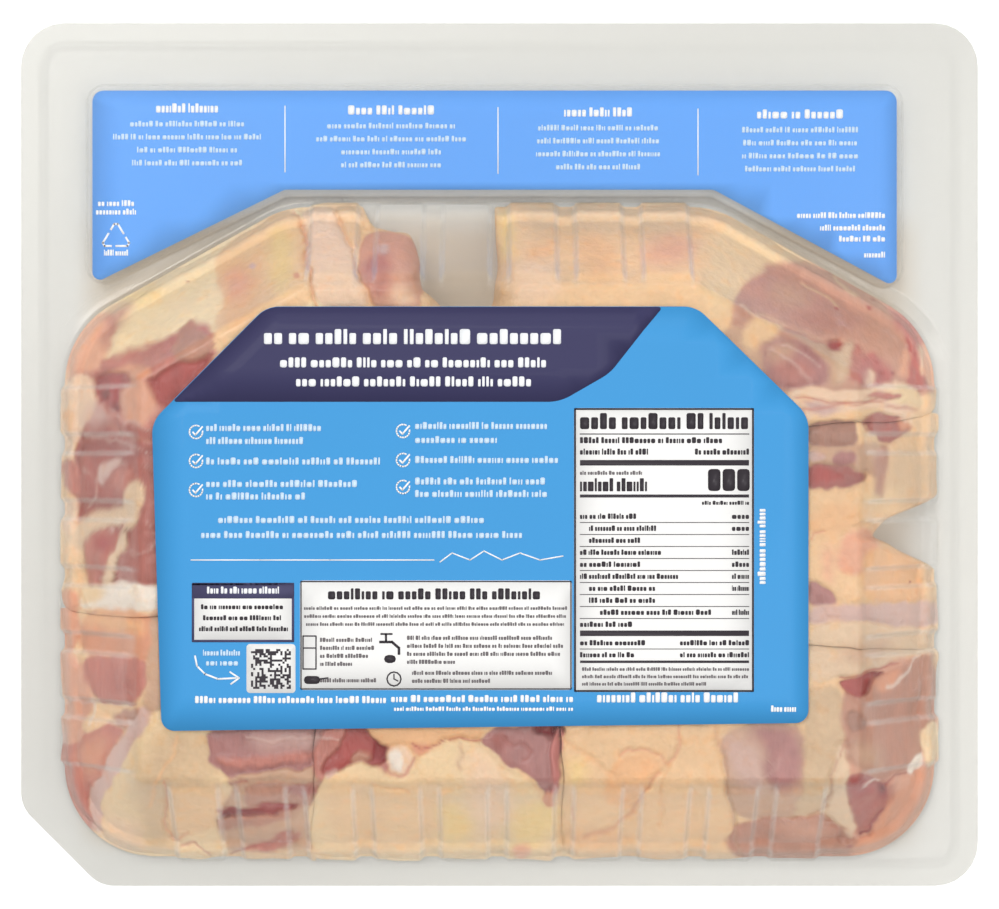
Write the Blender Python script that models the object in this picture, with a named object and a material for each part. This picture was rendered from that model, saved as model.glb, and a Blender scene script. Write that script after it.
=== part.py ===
"""Sealed clear tray of raw chicken thighs, lying on its lidding film with the tray's underside up.

The tray is a thermoformed shell: a wide stepped flange, a shallow raised compartment for a
printed header card, and a deep cavity with ribbed, sloping walls. Six thighs fill the cavity,
a thin film closes it from below, and a printed label is stuck on the flat underside.
X runs across the tray, Y towards the header card, and Z up; the origin is at the middle of
the base, where the film's rim rests.
"""

import math

import bmesh
import bpy
from mathutils import Vector

MM = 0.001

# Tray
TRAY_WIDTH = 254 * MM
TRAY_LENGTH = 229 * MM
TRAY_HEIGHT = 40 * MM
WALL = 0.6 * MM
CORNER_RADIUS = 11.5 * MM
PEEL_CORNER = 21 * MM
LIP_WIDTH = 5 * MM
LIP_STEP = 0.7 * MM
FLANGE_TOP = 2.4 * MM
LIP_BOTTOM = 0.55 * MM

# Cavity mouth, at the flange
MOUTH_HALF_WIDTH = 115.6 * MM
MOUTH_TOP = 66 * MM
MOUTH_BOTTOM = -106.9 * MM
MOUTH_TOP_HALF_WIDTH = 56.8 * MM
MOUTH_SHOULDER = 33 * MM
MOUTH_RADIUS = 24.5 * MM

# Wall section: inward distance from the mouth, height, and share of the rib depth
WALL_SECTION = (
    (-0.9 * MM, FLANGE_TOP, 0.0),
    (0.3 * MM, 3.4 * MM, 1.0),
    (2.9 * MM, 9.0 * MM, 1.0),
    (5.2 * MM, 10.0 * MM, 1.0),
    (20.3 * MM, 36.4 * MM, 1.0),
    (21.9 * MM, 39.2 * MM, 0.4),
    (23.6 * MM, TRAY_HEIGHT, 0.0),
)

# Ribs pressed outwards in the straight stretches of the wall
RIB_PITCH = 17.38 * MM
RIB_WIDTH = 11.4 * MM
RIB_FLANK = 1.1 * MM
RIB_DEPTH = 1.3 * MM
RIBS_TOP = (-43.45 * MM, 6)
RIBS_BOTTOM = (-78.8 * MM, 10)
RIBS_SIDE = (-75.38 * MM, 6)

# Header card and the compartment over it
HEADER_HEIGHT = 4 * MM
HEADER_BASE_MARGIN = 2.4 * MM
HEADER_ROOF_MARGIN = 1.3 * MM
HEADER_RADIUS = 3.2 * MM
CARD_THICKNESS = 0.3 * MM
CARD_CORNERS = (
    (-107.6 * MM, 96.2 * MM),
    (-107.6 * MM, 45.0 * MM),
    (-56.8 * MM, 70.0 * MM),
    (56.6 * MM, 70.0 * MM),
    (105.0 * MM, 43.9 * MM),
    (105.0 * MM, 96.2 * MM),
)

# Label on the tray's underside
LABEL_THICKNESS = 0.3 * MM
PRINT_THICKNESS = 0.2 * MM
LABEL_TOP = 37.9 * MM
LABEL_BOTTOM = -70.6 * MM
LABEL_RIGHT = 79.1 * MM
LABEL_CORNERS = (
    (-59.7 * MM, LABEL_TOP, 8 * MM),
    (-89.1 * MM, 8.4 * MM, 8 * MM),
    (-86.6 * MM, LABEL_BOTTOM, 3 * MM),
    (LABEL_RIGHT, LABEL_BOTTOM, 3 * MM),
    (LABEL_RIGHT, 9.8 * MM, 8 * MM),
    (50.3 * MM, LABEL_TOP, 8 * MM),
)
BANNER_BOTTOM = 13.5 * MM
BANNER_CORNERS = (
    (-59.4 * MM, 37.5 * MM, 7.6 * MM),
    (-83.2 * MM, BANNER_BOTTOM, 0.4 * MM),
    (24.0 * MM, BANNER_BOTTOM, 24 * MM),
    (41.6 * MM, 37.5 * MM, 0.6 * MM),
)
PANELS = {
    "label_facts_panel": (19.1 * MM, -60.9 * MM, 65.2 * MM, 11.9 * MM),
    "label_notice_panel": (-51.1 * MM, -60.4 * MM, 18.4 * MM, -32.2 * MM),
    "label_tip_panel": (-78.8 * MM, -48.0 * MM, -52.7 * MM, -32.9 * MM),
    "label_code_patch": (-65.0 * MM, -61.1 * MM, -52.4 * MM, -48.6 * MM),
}
PANEL_RADIUS = 0.8 * MM

# Lidding film
FILM_THICKNESS = 0.25 * MM
FILM_RECESS = 3.0 * MM
FILM_SLOPE_WIDTH = 6 * MM

# Pieces that touch keep this much air between them
GAP = 0.3 * MM

# Plan of each thigh, as the corners of a convex outline that its round form fills
THIGHS = {
    "thigh_top_left": ((-116, 34), (-57, 67), (-19.5, 67), (-11.5, 33), (-8.4, 6), (-9.0, -36), (-53, -39), (-116, -41)),
    "thigh_top_right": ((-2.0, 67), (58, 67), (116, 34), (116, 10.2), (53, 7.4), (-5, 7.4), (-5.6, 33)),
    "thigh_right": ((-5.6, 5.8), (53, 5.8), (116, 8.4), (116, -50), (53, -46.6), (16, -43), (-5.6, -38.5)),
    "thigh_bottom_left": ((-116, -42.6), (-53, -40.8), (-48.5, -49), (-50, -107), (-116, -107)),
    "thigh_bottom_middle": ((-50.5, -40.8), (-7.5, -40.8), (13.5, -44.6), (15, -107), (-48.4, -107), (-46.6, -49)),
    "thigh_bottom_right": ((16.8, -45), (53, -48.4), (116, -52), (116, -107), (16.8, -107)),
}
THIGH_EDGE_CLEARANCE = 2.0 * MM
THIGH_ROUNDNESS = 12.0
THIGH_SPOKES = 28
THIGH_RINGS = (0.3, 0.58, 0.8, 0.93, 1.0)
PILLOW_POWER = 7.0
FOLD_DEPTH = 1.1 * MM
FOLD_SPACING = 26 * MM

# Colours and finishes
CLEAR = {"colour": (0.84, 0.85, 0.83, 0.3), "roughness": 0.12}
FILM = {"colour": (0.88, 0.89, 0.87, 0.25), "roughness": 0.15}
CARD_BLUE = {"colour": (0.18, 0.39, 0.84, 1), "roughness": 0.45}
LABEL_BLUE = {"colour": (0.06, 0.38, 0.78, 1), "roughness": 0.4}
BANNER_NAVY = {"colour": (0.06, 0.055, 0.13, 1), "roughness": 0.4}
PANEL_WHITE = {"colour": (0.86, 0.85, 0.83, 1), "roughness": 0.45}
SKIN = {"colour": (0.82, 0.54, 0.29, 1), "roughness": 0.35}
FLESH = {"colour": (0.62, 0.27, 0.21, 1), "roughness": 0.3}


def clear_scene():
    for item in list(bpy.data.objects):
        bpy.data.objects.remove(item)


def make_material(name, finish):
    material = bpy.data.materials.new(name)
    material.use_nodes = True
    shader = material.node_tree.nodes["Principled BSDF"]
    shader.inputs["Base Color"].default_value = finish["colour"]
    shader.inputs["Alpha"].default_value = finish["colour"][3]
    shader.inputs["Roughness"].default_value = finish["roughness"]
    shader.inputs["Metallic"].default_value = 0.0
    return material


def new_object(name, build_mesh, collection, material=None):
    """Makes an object from a bmesh that a function fills, with its faces turned outwards."""
    mesh = bpy.data.meshes.new(name)
    grid = bmesh.new()
    build_mesh(grid)
    bmesh.ops.recalc_face_normals(grid, faces=grid.faces)
    grid.to_mesh(mesh)
    grid.free()
    item = bpy.data.objects.new(name, mesh)
    collection.objects.link(item)
    if material:
        mesh.materials.append(material)
    return item


def shade(item, degrees=35):
    item.data.shade_smooth()
    item.data.set_sharp_from_angle(angle=math.radians(degrees))


def offset_polygon(corners, distance):
    """Moves each edge of an anticlockwise polygon outwards and meets the moved edges again."""
    count = len(corners)
    points = [Vector(corner) for corner in corners]
    moved = []
    for i in range(count):
        before = (points[i] - points[i - 1]).normalized()
        after = (points[(i + 1) % count] - points[i]).normalized()
        out_before = Vector((before.y, -before.x))
        out_after = Vector((after.y, -after.x))
        bisector = out_before + out_after
        moved.append(points[i] + bisector * (distance / (1 + out_before.dot(out_after))))
    return moved


def rounded_polygon(corners, radii, arc_steps):
    """The outline of a polygon whose corners are arcs, each tangent to the two edges it joins."""
    count = len(corners)
    outline = []
    for i in range(count):
        corner = Vector(corners[i])
        towards_last = (Vector(corners[i - 1]) - corner).normalized()
        towards_next = (Vector(corners[(i + 1) % count]) - corner).normalized()
        half_angle = towards_last.angle(towards_next) / 2
        reach = radii[i] / math.tan(half_angle)
        start = corner + towards_last * reach
        end = corner + towards_next * reach
        middle = corner + (towards_last + towards_next).normalized() * (radii[i] / math.sin(half_angle))
        first = start - middle
        turn = first.angle_signed(end - middle)
        for k in range(arc_steps + 1):
            angle = -turn * k / arc_steps
            spoke = Vector((
                first.x * math.cos(angle) - first.y * math.sin(angle),
                first.x * math.sin(angle) + first.y * math.cos(angle),
            ))
            outline.append(middle + spoke)
    return outline


def tray_corners():
    """Anticlockwise corners of the tray's outer edge; the one at the lower left is cut for peeling."""
    half_width = TRAY_WIDTH / 2
    half_length = TRAY_LENGTH / 2
    return (
        (half_width, half_length),
        (-half_width, half_length),
        (-half_width, -half_length + PEEL_CORNER),
        (-half_width + PEEL_CORNER, -half_length),
        (half_width, -half_length),
    )


def mouth_corners():
    """Anticlockwise corners of the cavity's mouth, before rounding."""
    return (
        (MOUTH_HALF_WIDTH, MOUTH_SHOULDER),
        (MOUTH_TOP_HALF_WIDTH, MOUTH_TOP),
        (-MOUTH_TOP_HALF_WIDTH, MOUTH_TOP),
        (-MOUTH_HALF_WIDTH, MOUTH_SHOULDER),
        (-MOUTH_HALF_WIDTH, MOUTH_BOTTOM),
        (MOUTH_HALF_WIDTH, MOUTH_BOTTOM),
    )


def mouth_distance(point):
    """How far a point lies inside the rounded mouth; negative outside it.

    The mouth is a smaller polygon grown by the corner radius, so the distance is that radius
    less the signed distance to the smaller polygon.
    """
    core = offset_polygon(mouth_corners(), -MOUTH_RADIUS)
    inside = math.inf
    outside = math.inf
    for i, corner in enumerate(core):
        edge = core[(i + 1) % len(core)] - corner
        inward = Vector((-edge.y, edge.x)).normalized()
        inside = min(inside, (point - corner).dot(inward))
        share = max(0.0, min(1.0, (point - corner).dot(edge) / edge.length_squared))
        outside = min(outside, (point - corner - edge * share).length)
    return MOUTH_RADIUS + (inside if inside >= 0 else -outside)


def rib_marks(first, count):
    """Places along a wall where the rib relief changes, with the relief there."""
    marks = []
    for k in range(count):
        centre = first + k * RIB_PITCH
        marks.append((centre - RIB_WIDTH / 2 - RIB_FLANK, 0.0))
        marks.append((centre - RIB_WIDTH / 2, 1.0))
        marks.append((centre + RIB_WIDTH / 2, 1.0))
        marks.append((centre + RIB_WIDTH / 2 + RIB_FLANK, 0.0))
    return marks


def mouth_outline(arc_steps=6):
    """Points of the mouth with their outward normals and their share of the rib depth."""
    corners = mouth_corners()
    count = len(corners)
    arcs = rounded_polygon(corners, [MOUTH_RADIUS] * count, arc_steps)
    size = arc_steps + 1
    outline = []
    for i in range(count):
        arc = arcs[i * size:(i + 1) * size]
        into = (Vector(corners[i]) - Vector(corners[i - 1])).normalized()
        out = (Vector(corners[(i + 1) % count]) - Vector(corners[i])).normalized()
        normal_in = Vector((into.y, -into.x))
        normal_out = Vector((out.y, -out.x))
        turn = normal_in.angle_signed(normal_out)
        for k, point in enumerate(arc):
            angle = -turn * k / arc_steps
            normal = Vector((
                normal_in.x * math.cos(angle) - normal_in.y * math.sin(angle),
                normal_in.x * math.sin(angle) + normal_in.y * math.cos(angle),
            ))
            outline.append((point, normal, 0.0))
        marks = edge_ribs(normal_out)
        towards = out.x if abs(out.x) > abs(out.y) else out.y
        for place, relief in (marks if towards > 0 else reversed(marks)):
            if abs(normal_out.y) > 0.99:
                point = Vector((place, corners[i][1]))
            else:
                point = Vector((corners[i][0], place))
            outline.append((point, normal_out, relief))
    return outline


def edge_ribs(normal):
    """The ribs of the wall that faces a direction; the two slanting walls have none."""
    if normal.y > 0.99:
        return rib_marks(*RIBS_TOP)
    if normal.y < -0.99:
        return rib_marks(*RIBS_BOTTOM)
    if abs(normal.x) > 0.99:
        return rib_marks(*RIBS_SIDE)
    return []


def inner_section(thickness):
    """The wall section moved square to itself, into the cavity."""
    points = [Vector((inset, height)) for inset, height, _ in WALL_SECTION]
    moved = []
    for i, point in enumerate(points):
        before = (point - points[max(i - 1, 0)]).normalized()
        after = (points[min(i + 1, len(points) - 1)] - point).normalized()
        along = (before + after).normalized()
        share = max(0.5, along.dot(after) if after.length else along.dot(before))
        normal = Vector((along.y, -along.x))
        moved.append(point + normal * (thickness / share))
    return moved


def wall_height(inset, section):
    """Height of a wall section at a distance inside the mouth."""
    if inset <= section[0].x:
        return section[0].y
    for low, high in zip(section, section[1:]):
        if inset <= high.x:
            return low.y + (high.y - low.y) * (inset - low.x) / (high.x - low.x)
    return section[-1].y


def loft(grid, rings):
    """Joins rings of equal length with faces and closes both ends."""
    rows = [[grid.verts.new(point) for point in ring] for ring in rings]
    count = len(rows[0])
    for low, high in zip(rows, rows[1:]):
        for i in range(count):
            j = (i + 1) % count
            grid.faces.new((low[i], low[j], high[j], high[i]))
    grid.faces.new(rows[0][::-1])
    grid.faces.new(rows[-1])


def at_height(outline, height):
    return [(point.x, point.y, height) for point in outline]


def outer_edge(inset, arc_steps=6):
    """The tray's outer edge, moved inwards."""
    corners = offset_polygon(tray_corners(), -inset)
    plain = max(CORNER_RADIUS - inset, 2 * MM)
    soft = 9 * MM
    return rounded_polygon(corners, [plain, plain, soft, soft, plain], arc_steps)


def cavity_rings(section, floor, rib_scale=1.0):
    """The cavity's rings, from a floor below the mouth up to the flat underside."""
    outline = mouth_outline()
    shares = [share for _, _, share in WALL_SECTION]
    rings = []
    for (inset, height), share in zip(section, shares):
        ring = []
        for point, normal, relief in outline:
            place = point + normal * (relief * share * RIB_DEPTH * rib_scale - inset)
            ring.append((place.x, place.y, height))
        rings.append(ring)
    rings.insert(0, [(x, y, floor) for x, y, _ in rings[0]])
    return rings


def header_outline(margin):
    corners = offset_polygon(CARD_CORNERS, margin)
    radius = HEADER_RADIUS + margin * 0.5
    return rounded_polygon(corners, [radius, radius, 5 * MM, 5 * MM, radius, radius], 4)


def apply_boolean(item, tool, operation):
    modifier = item.modifiers.new(operation.title(), "BOOLEAN")
    modifier.operation = operation
    modifier.object = tool
    modifier.solver = "EXACT"
    tool.hide_render = True
    tool.display_type = "WIRE"


def build_tray(parts, cutters, material):
    """The shell: flange, header compartment and cavity, less the same forms one wall thinner."""
    lip_top = LIP_BOTTOM + LIP_STEP
    outer_flange = (
        (0.0, LIP_BOTTOM),
        (0.0, lip_top),
        (LIP_WIDTH, lip_top),
        (LIP_WIDTH + 1.2 * MM, FLANGE_TOP),
    )
    under = FLANGE_TOP - WALL
    inner_flange = (
        (LIP_WIDTH + WALL, LIP_BOTTOM - 1 * MM),
        (LIP_WIDTH + WALL, LIP_BOTTOM + 0.1 * MM),
        (LIP_WIDTH + 1.2 * MM + WALL, under),
    )
    header_top = FLANGE_TOP + HEADER_HEIGHT
    cut_floor = -2 * MM

    def flange_form(grid):
        loft(grid, [at_height(outer_edge(inset), z) for inset, z in outer_flange])

    def cavity_form(grid):
        section = [Vector((inset, height)) for inset, height, _ in WALL_SECTION]
        loft(grid, cavity_rings(section, under + 0.1 * MM))

    def header_form(grid):
        loft(grid, [
            at_height(header_outline(HEADER_BASE_MARGIN), under + 0.2 * MM),
            at_height(header_outline(HEADER_BASE_MARGIN), FLANGE_TOP),
            at_height(header_outline(HEADER_ROOF_MARGIN), header_top),
        ])

    def flange_hollow(grid):
        loft(grid, [at_height(outer_edge(inset), z) for inset, z in inner_flange])

    def cavity_hollow(grid):
        loft(grid, cavity_rings(inner_section(WALL), cut_floor))

    def header_hollow(grid):
        loft(grid, [
            at_height(header_outline(HEADER_BASE_MARGIN - WALL), cut_floor),
            at_height(header_outline(HEADER_BASE_MARGIN - WALL), FLANGE_TOP),
            at_height(header_outline(HEADER_ROOF_MARGIN - WALL), header_top - WALL),
        ])

    tray = new_object("tray", flange_form, parts, material)
    for name, form, operation in (
        ("cavity_form", cavity_form, "UNION"),
        ("header_form", header_form, "UNION"),
        ("flange_hollow", flange_hollow, "DIFFERENCE"),
        ("cavity_hollow", cavity_hollow, "DIFFERENCE"),
        ("header_hollow", header_hollow, "DIFFERENCE"),
    ):
        apply_boolean(tray, new_object(name, form, cutters), operation)
    return tray


def film_height(point):
    """Top of the film: level under the flange, and drawn up into the tray inside its mouth."""
    inside = max(0.0, min(1.0, (mouth_distance(point) - 0.5 * MM) / FILM_SLOPE_WIDTH))
    ease = inside * inside * (3 - 2 * inside)
    flange_level = FLANGE_TOP - WALL - GAP
    return flange_level + (FILM_RECESS - flange_level) * ease


def ray_reach(outline, centre, ray):
    """Distance from a centre to the outline around it, along one direction."""
    across = Vector((-ray.y, ray.x))
    for i, point in enumerate(outline):
        near = point - outline[i - 1]
        start = outline[i - 1] - centre
        spread = near.dot(across)
        if abs(spread) < 1e-9:
            continue
        share = -start.dot(across) / spread
        reach = (start + near * share).dot(ray)
        if -1e-6 <= share <= 1 + 1e-6 and reach > 0:
            return reach
    raise ValueError("the outline doesn't go round its centre")


def build_film(parts, material):
    """A thin sheet with the tray's outer edge, stepped at the lip and drawn up inside the mouth."""
    middle = Vector((0.0, (MOUTH_TOP + MOUTH_BOTTOM) / 2))
    edge = outer_edge(0.0)
    lip_edge = outer_edge(LIP_WIDTH + WALL + GAP)
    flange_edge = outer_edge(LIP_WIDTH + WALL + GAP + 1.6 * MM)
    mouth_arcs = rounded_polygon(mouth_corners(), [MOUTH_RADIUS] * 6, 4)
    directions = sorted(math.atan2(p.y - middle.y, p.x - middle.x) for p in edge + mouth_arcs)
    insets = (0.5 * MM, FILM_SLOPE_WIDTH * 0.55, FILM_SLOPE_WIDTH + 0.5 * MM)

    def sheet(grid):
        places = []
        for angle in directions:
            ray = Vector((math.cos(angle), math.sin(angle)))
            far = ray_reach(flange_edge, middle, ray)
            reaches = [ray_reach(edge, middle, ray), ray_reach(lip_edge, middle, ray), far]
            reaches += [reach_inside_mouth(middle, ray, far, inset) for inset in insets]
            reaches.append(reaches[-1] * 0.45)
            places.append([middle + ray * reach for reach in reaches])
        layers = []
        for drop in (0.0, FILM_THICKNESS):
            columns = []
            for column in places:
                heights = [FILM_THICKNESS, FILM_THICKNESS] + [film_height(p) for p in column[2:]]
                columns.append([grid.verts.new((p.x, p.y, z - drop)) for p, z in zip(column, heights)])
            layers.append(columns)
        count = len(directions)
        for columns in layers:
            for i in range(count):
                here, beside = columns[i - 1], columns[i]
                for k in range(len(here) - 1):
                    grid.faces.new((here[k], beside[k], beside[k + 1], here[k + 1]))
            grid.faces.new([column[-1] for column in columns])
        for i in range(count):
            top, bottom = layers
            grid.faces.new((top[i - 1][0], top[i][0], bottom[i][0], bottom[i - 1][0]))

    film = new_object("lid_film", sheet, parts, material)
    shade(film)
    return film


def cell_radius(centre, corners, angle):
    """Distance from a centre to a rounded form that fills a convex polygon, along one angle."""
    ray = Vector((math.cos(angle), math.sin(angle)))
    total = 0.0
    count = len(corners)
    for i in range(count):
        edge = corners[(i + 1) % count] - corners[i]
        outward = Vector((edge.y, -edge.x)).normalized()
        if outward.dot(corners[i] - centre) < 0:
            outward = -outward
        reach = outward.dot(corners[i] - centre)
        total += max(0.0, ray.dot(outward) / reach) ** THIGH_ROUNDNESS
    return total ** (-1 / THIGH_ROUNDNESS)


def reach_inside_mouth(centre, ray, radius, clearance):
    """Shortens a radius until its end lies well inside the mouth."""
    if mouth_distance(centre + ray * radius) >= clearance:
        return radius
    low, high = 0.0, radius
    for _ in range(24):
        middle = (low + high) / 2
        if mouth_distance(centre + ray * middle) >= clearance:
            low = middle
        else:
            high = middle
    return low


def skin_fold(point, seed):
    """Shallow furrows in the skin, from two slanting waves; zero on the crests."""
    lean = math.radians(35 + 50 * seed)
    across = point.x * math.cos(lean) + point.y * math.sin(lean)
    along = point.y * math.cos(lean) - point.x * math.sin(lean)
    bend = 0.22 * math.sin(along * 5 / FOLD_SPACING + seed)
    wave = math.sin(across * math.tau / FOLD_SPACING + math.tau * bend)
    return -FOLD_DEPTH * max(0.0, wave) ** 4


def build_thigh(name, corners_mm, seed, parts, material):
    """A thigh pressed flat against the tray's inside, with pillowed sides towards its neighbours."""
    corners = [Vector((x * MM, y * MM)) for x, y in corners_mm]
    centre = sum(corners, Vector((0.0, 0.0))) / len(corners)
    section = inner_section(WALL + GAP + 0.15 * MM)

    def faces_at(place, share):
        ceiling = wall_height(mouth_distance(place), section) + skin_fold(place, seed)
        floor = film_height(place) + GAP
        ceiling = max(ceiling, floor + 0.5 * MM)
        middle = floor + (ceiling - floor) * 0.5
        closing = (1 - share ** PILLOW_POWER) ** 0.45
        return middle + (ceiling - middle) * closing, middle - (middle - floor) * closing

    def pillow(grid):
        spokes = []
        for k in range(THIGH_SPOKES):
            angle = math.tau * k / THIGH_SPOKES
            ray = Vector((math.cos(angle), math.sin(angle)))
            radius = cell_radius(centre, corners, angle)
            spokes.append((ray, reach_inside_mouth(centre, ray, radius, THIGH_EDGE_CLEARANCE)))
        top_z, bottom_z = faces_at(centre, 0.0)
        top_pole = grid.verts.new((centre.x, centre.y, top_z))
        bottom_pole = grid.verts.new((centre.x, centre.y, bottom_z))
        top_rows, bottom_rows = [], []
        for share in THIGH_RINGS:
            top_row, bottom_row = [], []
            for ray, radius in spokes:
                place = centre + ray * radius * share
                high, low = faces_at(place, share)
                top_row.append(grid.verts.new((place.x, place.y, high)))
                if share < 1.0:
                    bottom_row.append(grid.verts.new((place.x, place.y, low)))
            top_rows.append(top_row)
            bottom_rows.append(bottom_row if share < 1.0 else top_row)
        for pole, rows in ((top_pole, top_rows), (bottom_pole, bottom_rows)):
            for i in range(THIGH_SPOKES):
                j = (i + 1) % THIGH_SPOKES
                grid.faces.new((pole, rows[0][i], rows[0][j]))
                for low, high in zip(rows, rows[1:]):
                    grid.faces.new((low[i], low[j], high[j], high[i]))

    thigh = new_object(name, pillow, parts, material)
    shade(thigh, 80)
    return thigh


def build_plate(name, outline, bottom, thickness, parts, material):
    """A flat printed piece: an outline between two levels."""

    def plate(grid):
        loft(grid, [at_height(outline, bottom), at_height(outline, bottom + thickness)])

    return new_object(name, plate, parts, material)


def build_print(parts, materials):
    """The header card, the label and the coloured fields printed on it."""
    roof = FLANGE_TOP + HEADER_HEIGHT - WALL
    card = rounded_polygon(CARD_CORNERS, [3 * MM, 2 * MM, 3 * MM, 3 * MM, 2 * MM, 3 * MM], 4)
    card_bottom = roof - GAP - CARD_THICKNESS
    build_plate("header_card", card, card_bottom, CARD_THICKNESS, parts, materials["card"])
    label_bottom = TRAY_HEIGHT + GAP
    label = rounded_polygon([c[:2] for c in LABEL_CORNERS], [c[2] for c in LABEL_CORNERS], 6)
    build_plate("label", label, label_bottom, LABEL_THICKNESS, parts, materials["label"])
    print_bottom = label_bottom + LABEL_THICKNESS + GAP
    banner = rounded_polygon([c[:2] for c in BANNER_CORNERS], [c[2] for c in BANNER_CORNERS], 6)
    build_plate("label_banner", banner, print_bottom, PRINT_THICKNESS, parts, materials["banner"])
    for name, (left, low, right, high) in PANELS.items():
        corners = ((left, low), (right, low), (right, high), (left, high))
        outline = rounded_polygon(corners, [PANEL_RADIUS] * 4, 2)
        build_plate(name, outline, print_bottom, PRINT_THICKNESS, parts, materials["panel"])


def main():
    clear_scene()
    parts = bpy.data.collections.new("chicken_thigh_tray")
    cutters = bpy.data.collections.new("tray_cutters")
    for collection in (parts, cutters):
        bpy.context.scene.collection.children.link(collection)
    materials = {
        "clear": make_material("clear_tray", CLEAR),
        "film": make_material("lidding_film", FILM),
        "card": make_material("header_card", CARD_BLUE),
        "label": make_material("label_blue", LABEL_BLUE),
        "banner": make_material("banner_navy", BANNER_NAVY),
        "panel": make_material("panel_white", PANEL_WHITE),
        "skin": make_material("chicken_skin", SKIN),
        "flesh": make_material("chicken_flesh", FLESH),
    }
    build_tray(parts, cutters, materials["clear"])
    build_film(parts, materials["film"])
    build_print(parts, materials)
    for order, (name, corners) in enumerate(THIGHS.items()):
        tissue = materials["flesh"] if name == "thigh_right" else materials["skin"]
        build_thigh(name, corners, order / len(THIGHS), parts, tissue)


main()
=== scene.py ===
"""Looks of the sealed tray of raw chicken thighs, lying on its lidding film with its label up.

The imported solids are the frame. Every shape here is worked out in millimetres in the same
frame: X across the tray, Y towards the header card, Z up from the film's rim.
"""

import math

import bmesh
import bpy
import numpy as np
from bpy.props import FloatProperty, FloatVectorProperty, PointerProperty
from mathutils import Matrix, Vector
from mathutils.geometry import delaunay_2d_cdt


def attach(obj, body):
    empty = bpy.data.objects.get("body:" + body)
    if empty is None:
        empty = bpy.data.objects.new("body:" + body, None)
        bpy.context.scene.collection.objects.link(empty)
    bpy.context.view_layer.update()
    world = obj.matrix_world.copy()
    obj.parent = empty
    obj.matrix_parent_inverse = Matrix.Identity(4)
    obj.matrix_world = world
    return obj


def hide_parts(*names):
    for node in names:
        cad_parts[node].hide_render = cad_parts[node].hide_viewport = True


bl_info = {
    "name": "Tray pack of chicken thighs",
    "version": (1, 0, 0),
    "blender": (4, 5, 0),
    "location": "3D View > Sidebar > Tray Pack",
    "description": "Builds the clear tray, its contents, its header card and its label",
    "category": "Object",
}

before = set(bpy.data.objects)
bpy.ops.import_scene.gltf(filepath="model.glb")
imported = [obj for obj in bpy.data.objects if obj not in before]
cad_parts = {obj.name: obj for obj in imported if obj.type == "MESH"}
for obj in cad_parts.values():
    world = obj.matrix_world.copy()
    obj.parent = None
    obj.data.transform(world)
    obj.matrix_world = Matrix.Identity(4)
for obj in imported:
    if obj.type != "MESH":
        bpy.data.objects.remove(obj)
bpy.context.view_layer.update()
MM = 0.001

# Plan units, for places read off a straight-down view of the pack from 1.2 m above its flange.
# One unit is this many millimetres at the flange, and nearer things look larger.
UNIT = 0.265
PLAN_MIDDLE = (499.5, 454.5)
VIEW_HEIGHT = 1200.0
FLANGE_TOP = 2.4
PLAN_SIZE = (999, 909)
# The floor lies this much below the film, so that the two are never in one plane
FLOOR_GAP = 0.2

# Tray
HALF_WIDTH = 127.0
HALF_LENGTH = 114.5
PEEL_CORNER = 21.0
TRAY_HEIGHT = 40.0
FLANGE_PROFILE = ((0, 0.55), (0, 1.25), (5.0, 1.25), (5.7, FLANGE_TOP), (6.3, FLANGE_TOP))
MOUTH_CORNERS = ((115.6, 33), (56.8, 66), (-56.8, 66), (-115.6, 33), (-115.6, -106.9), (115.6, -106.9))
MOUTH_RADIUS = 24.5
WALL_SECTION = (
    (-0.9, FLANGE_TOP, 0), (-0.5, FLANGE_TOP, 0), (0.3, 3.4, 1), (2.9, 9, 1), (5.2, 10, 1),
    (20.3, 36.4, 1), (21.9, 39.2, 0.4), (23.6, TRAY_HEIGHT, 0), (24.2, TRAY_HEIGHT, 0),
)
WALL_FILLET = 1.3
RIB_PITCH = 17.38
RIB_WIDTH = 10.5
RIB_FLANK = 2.0
RIB_DEPTH = 1.3
# Share of the rib depth that the meat fills
RIB_SHARE = 0.9
# Middle of the first rib and number of ribs on each side of the mouth
RIBS = {"top": (-43.45, 6), "bottom": (-78.8, 10), "side": (-75.38, 6)}
CARD_CORNERS = ((-107.6, 96.2), (-107.6, 45), (-56.8, 70), (56.6, 70), (105, 43.9), (105, 96.2))
HEADER_PROFILE = ((2.3, FLANGE_TOP), (2.1, FLANGE_TOP), (1.3, 6.4), (0.4, 6.4))

# Levels of the printed pieces
CARD_LEVEL = 5.5
LABEL_LEVEL = TRAY_HEIGHT + 0.22
FIELD_LEVEL = LABEL_LEVEL + 0.05
INK_LEVEL = FIELD_LEVEL + 0.05
# Thickness of each, and of the ink on them
CARD_THICKNESS = 0.25
LABEL_THICKNESS = 0.2
FIELD_THICKNESS = 0.05
INK_THICKNESS = 0.04
# Spacing of the corner points inside a printed sheet
SHEET_SPACING = 9.0

# The label and its banner in plan units, and its panels: solid, then left, top, right, bottom
LABEL_OUTLINE = ((266.5, 306.5), (151.8, 421.5), (161.5, 731), (808.5, 723), (808.5, 416), (696, 306.5))
BANNER_OUTLINE = ((266.7, 306.9), (172.3, 401.8), (560, 401.8), (610, 373), (643, 331), (663, 306.9))
FIELDS = {
    "facts_panel_sheet": ("label_facts_panel", (574, 408, 754, 692)),
    "notice_panel_sheet": ("label_notice_panel", (300, 580.5, 572, 690)),
    "tip_panel_sheet": ("label_tip_panel", (192, 583, 294, 642)),
    "code_patch_sheet": ("label_code_patch", (246.5, 644, 295.5, 693)),
}
# The sides of one cell of the square code, in plan units
CODE_CELL = 2.1
CODE_CELLS = 19

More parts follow.
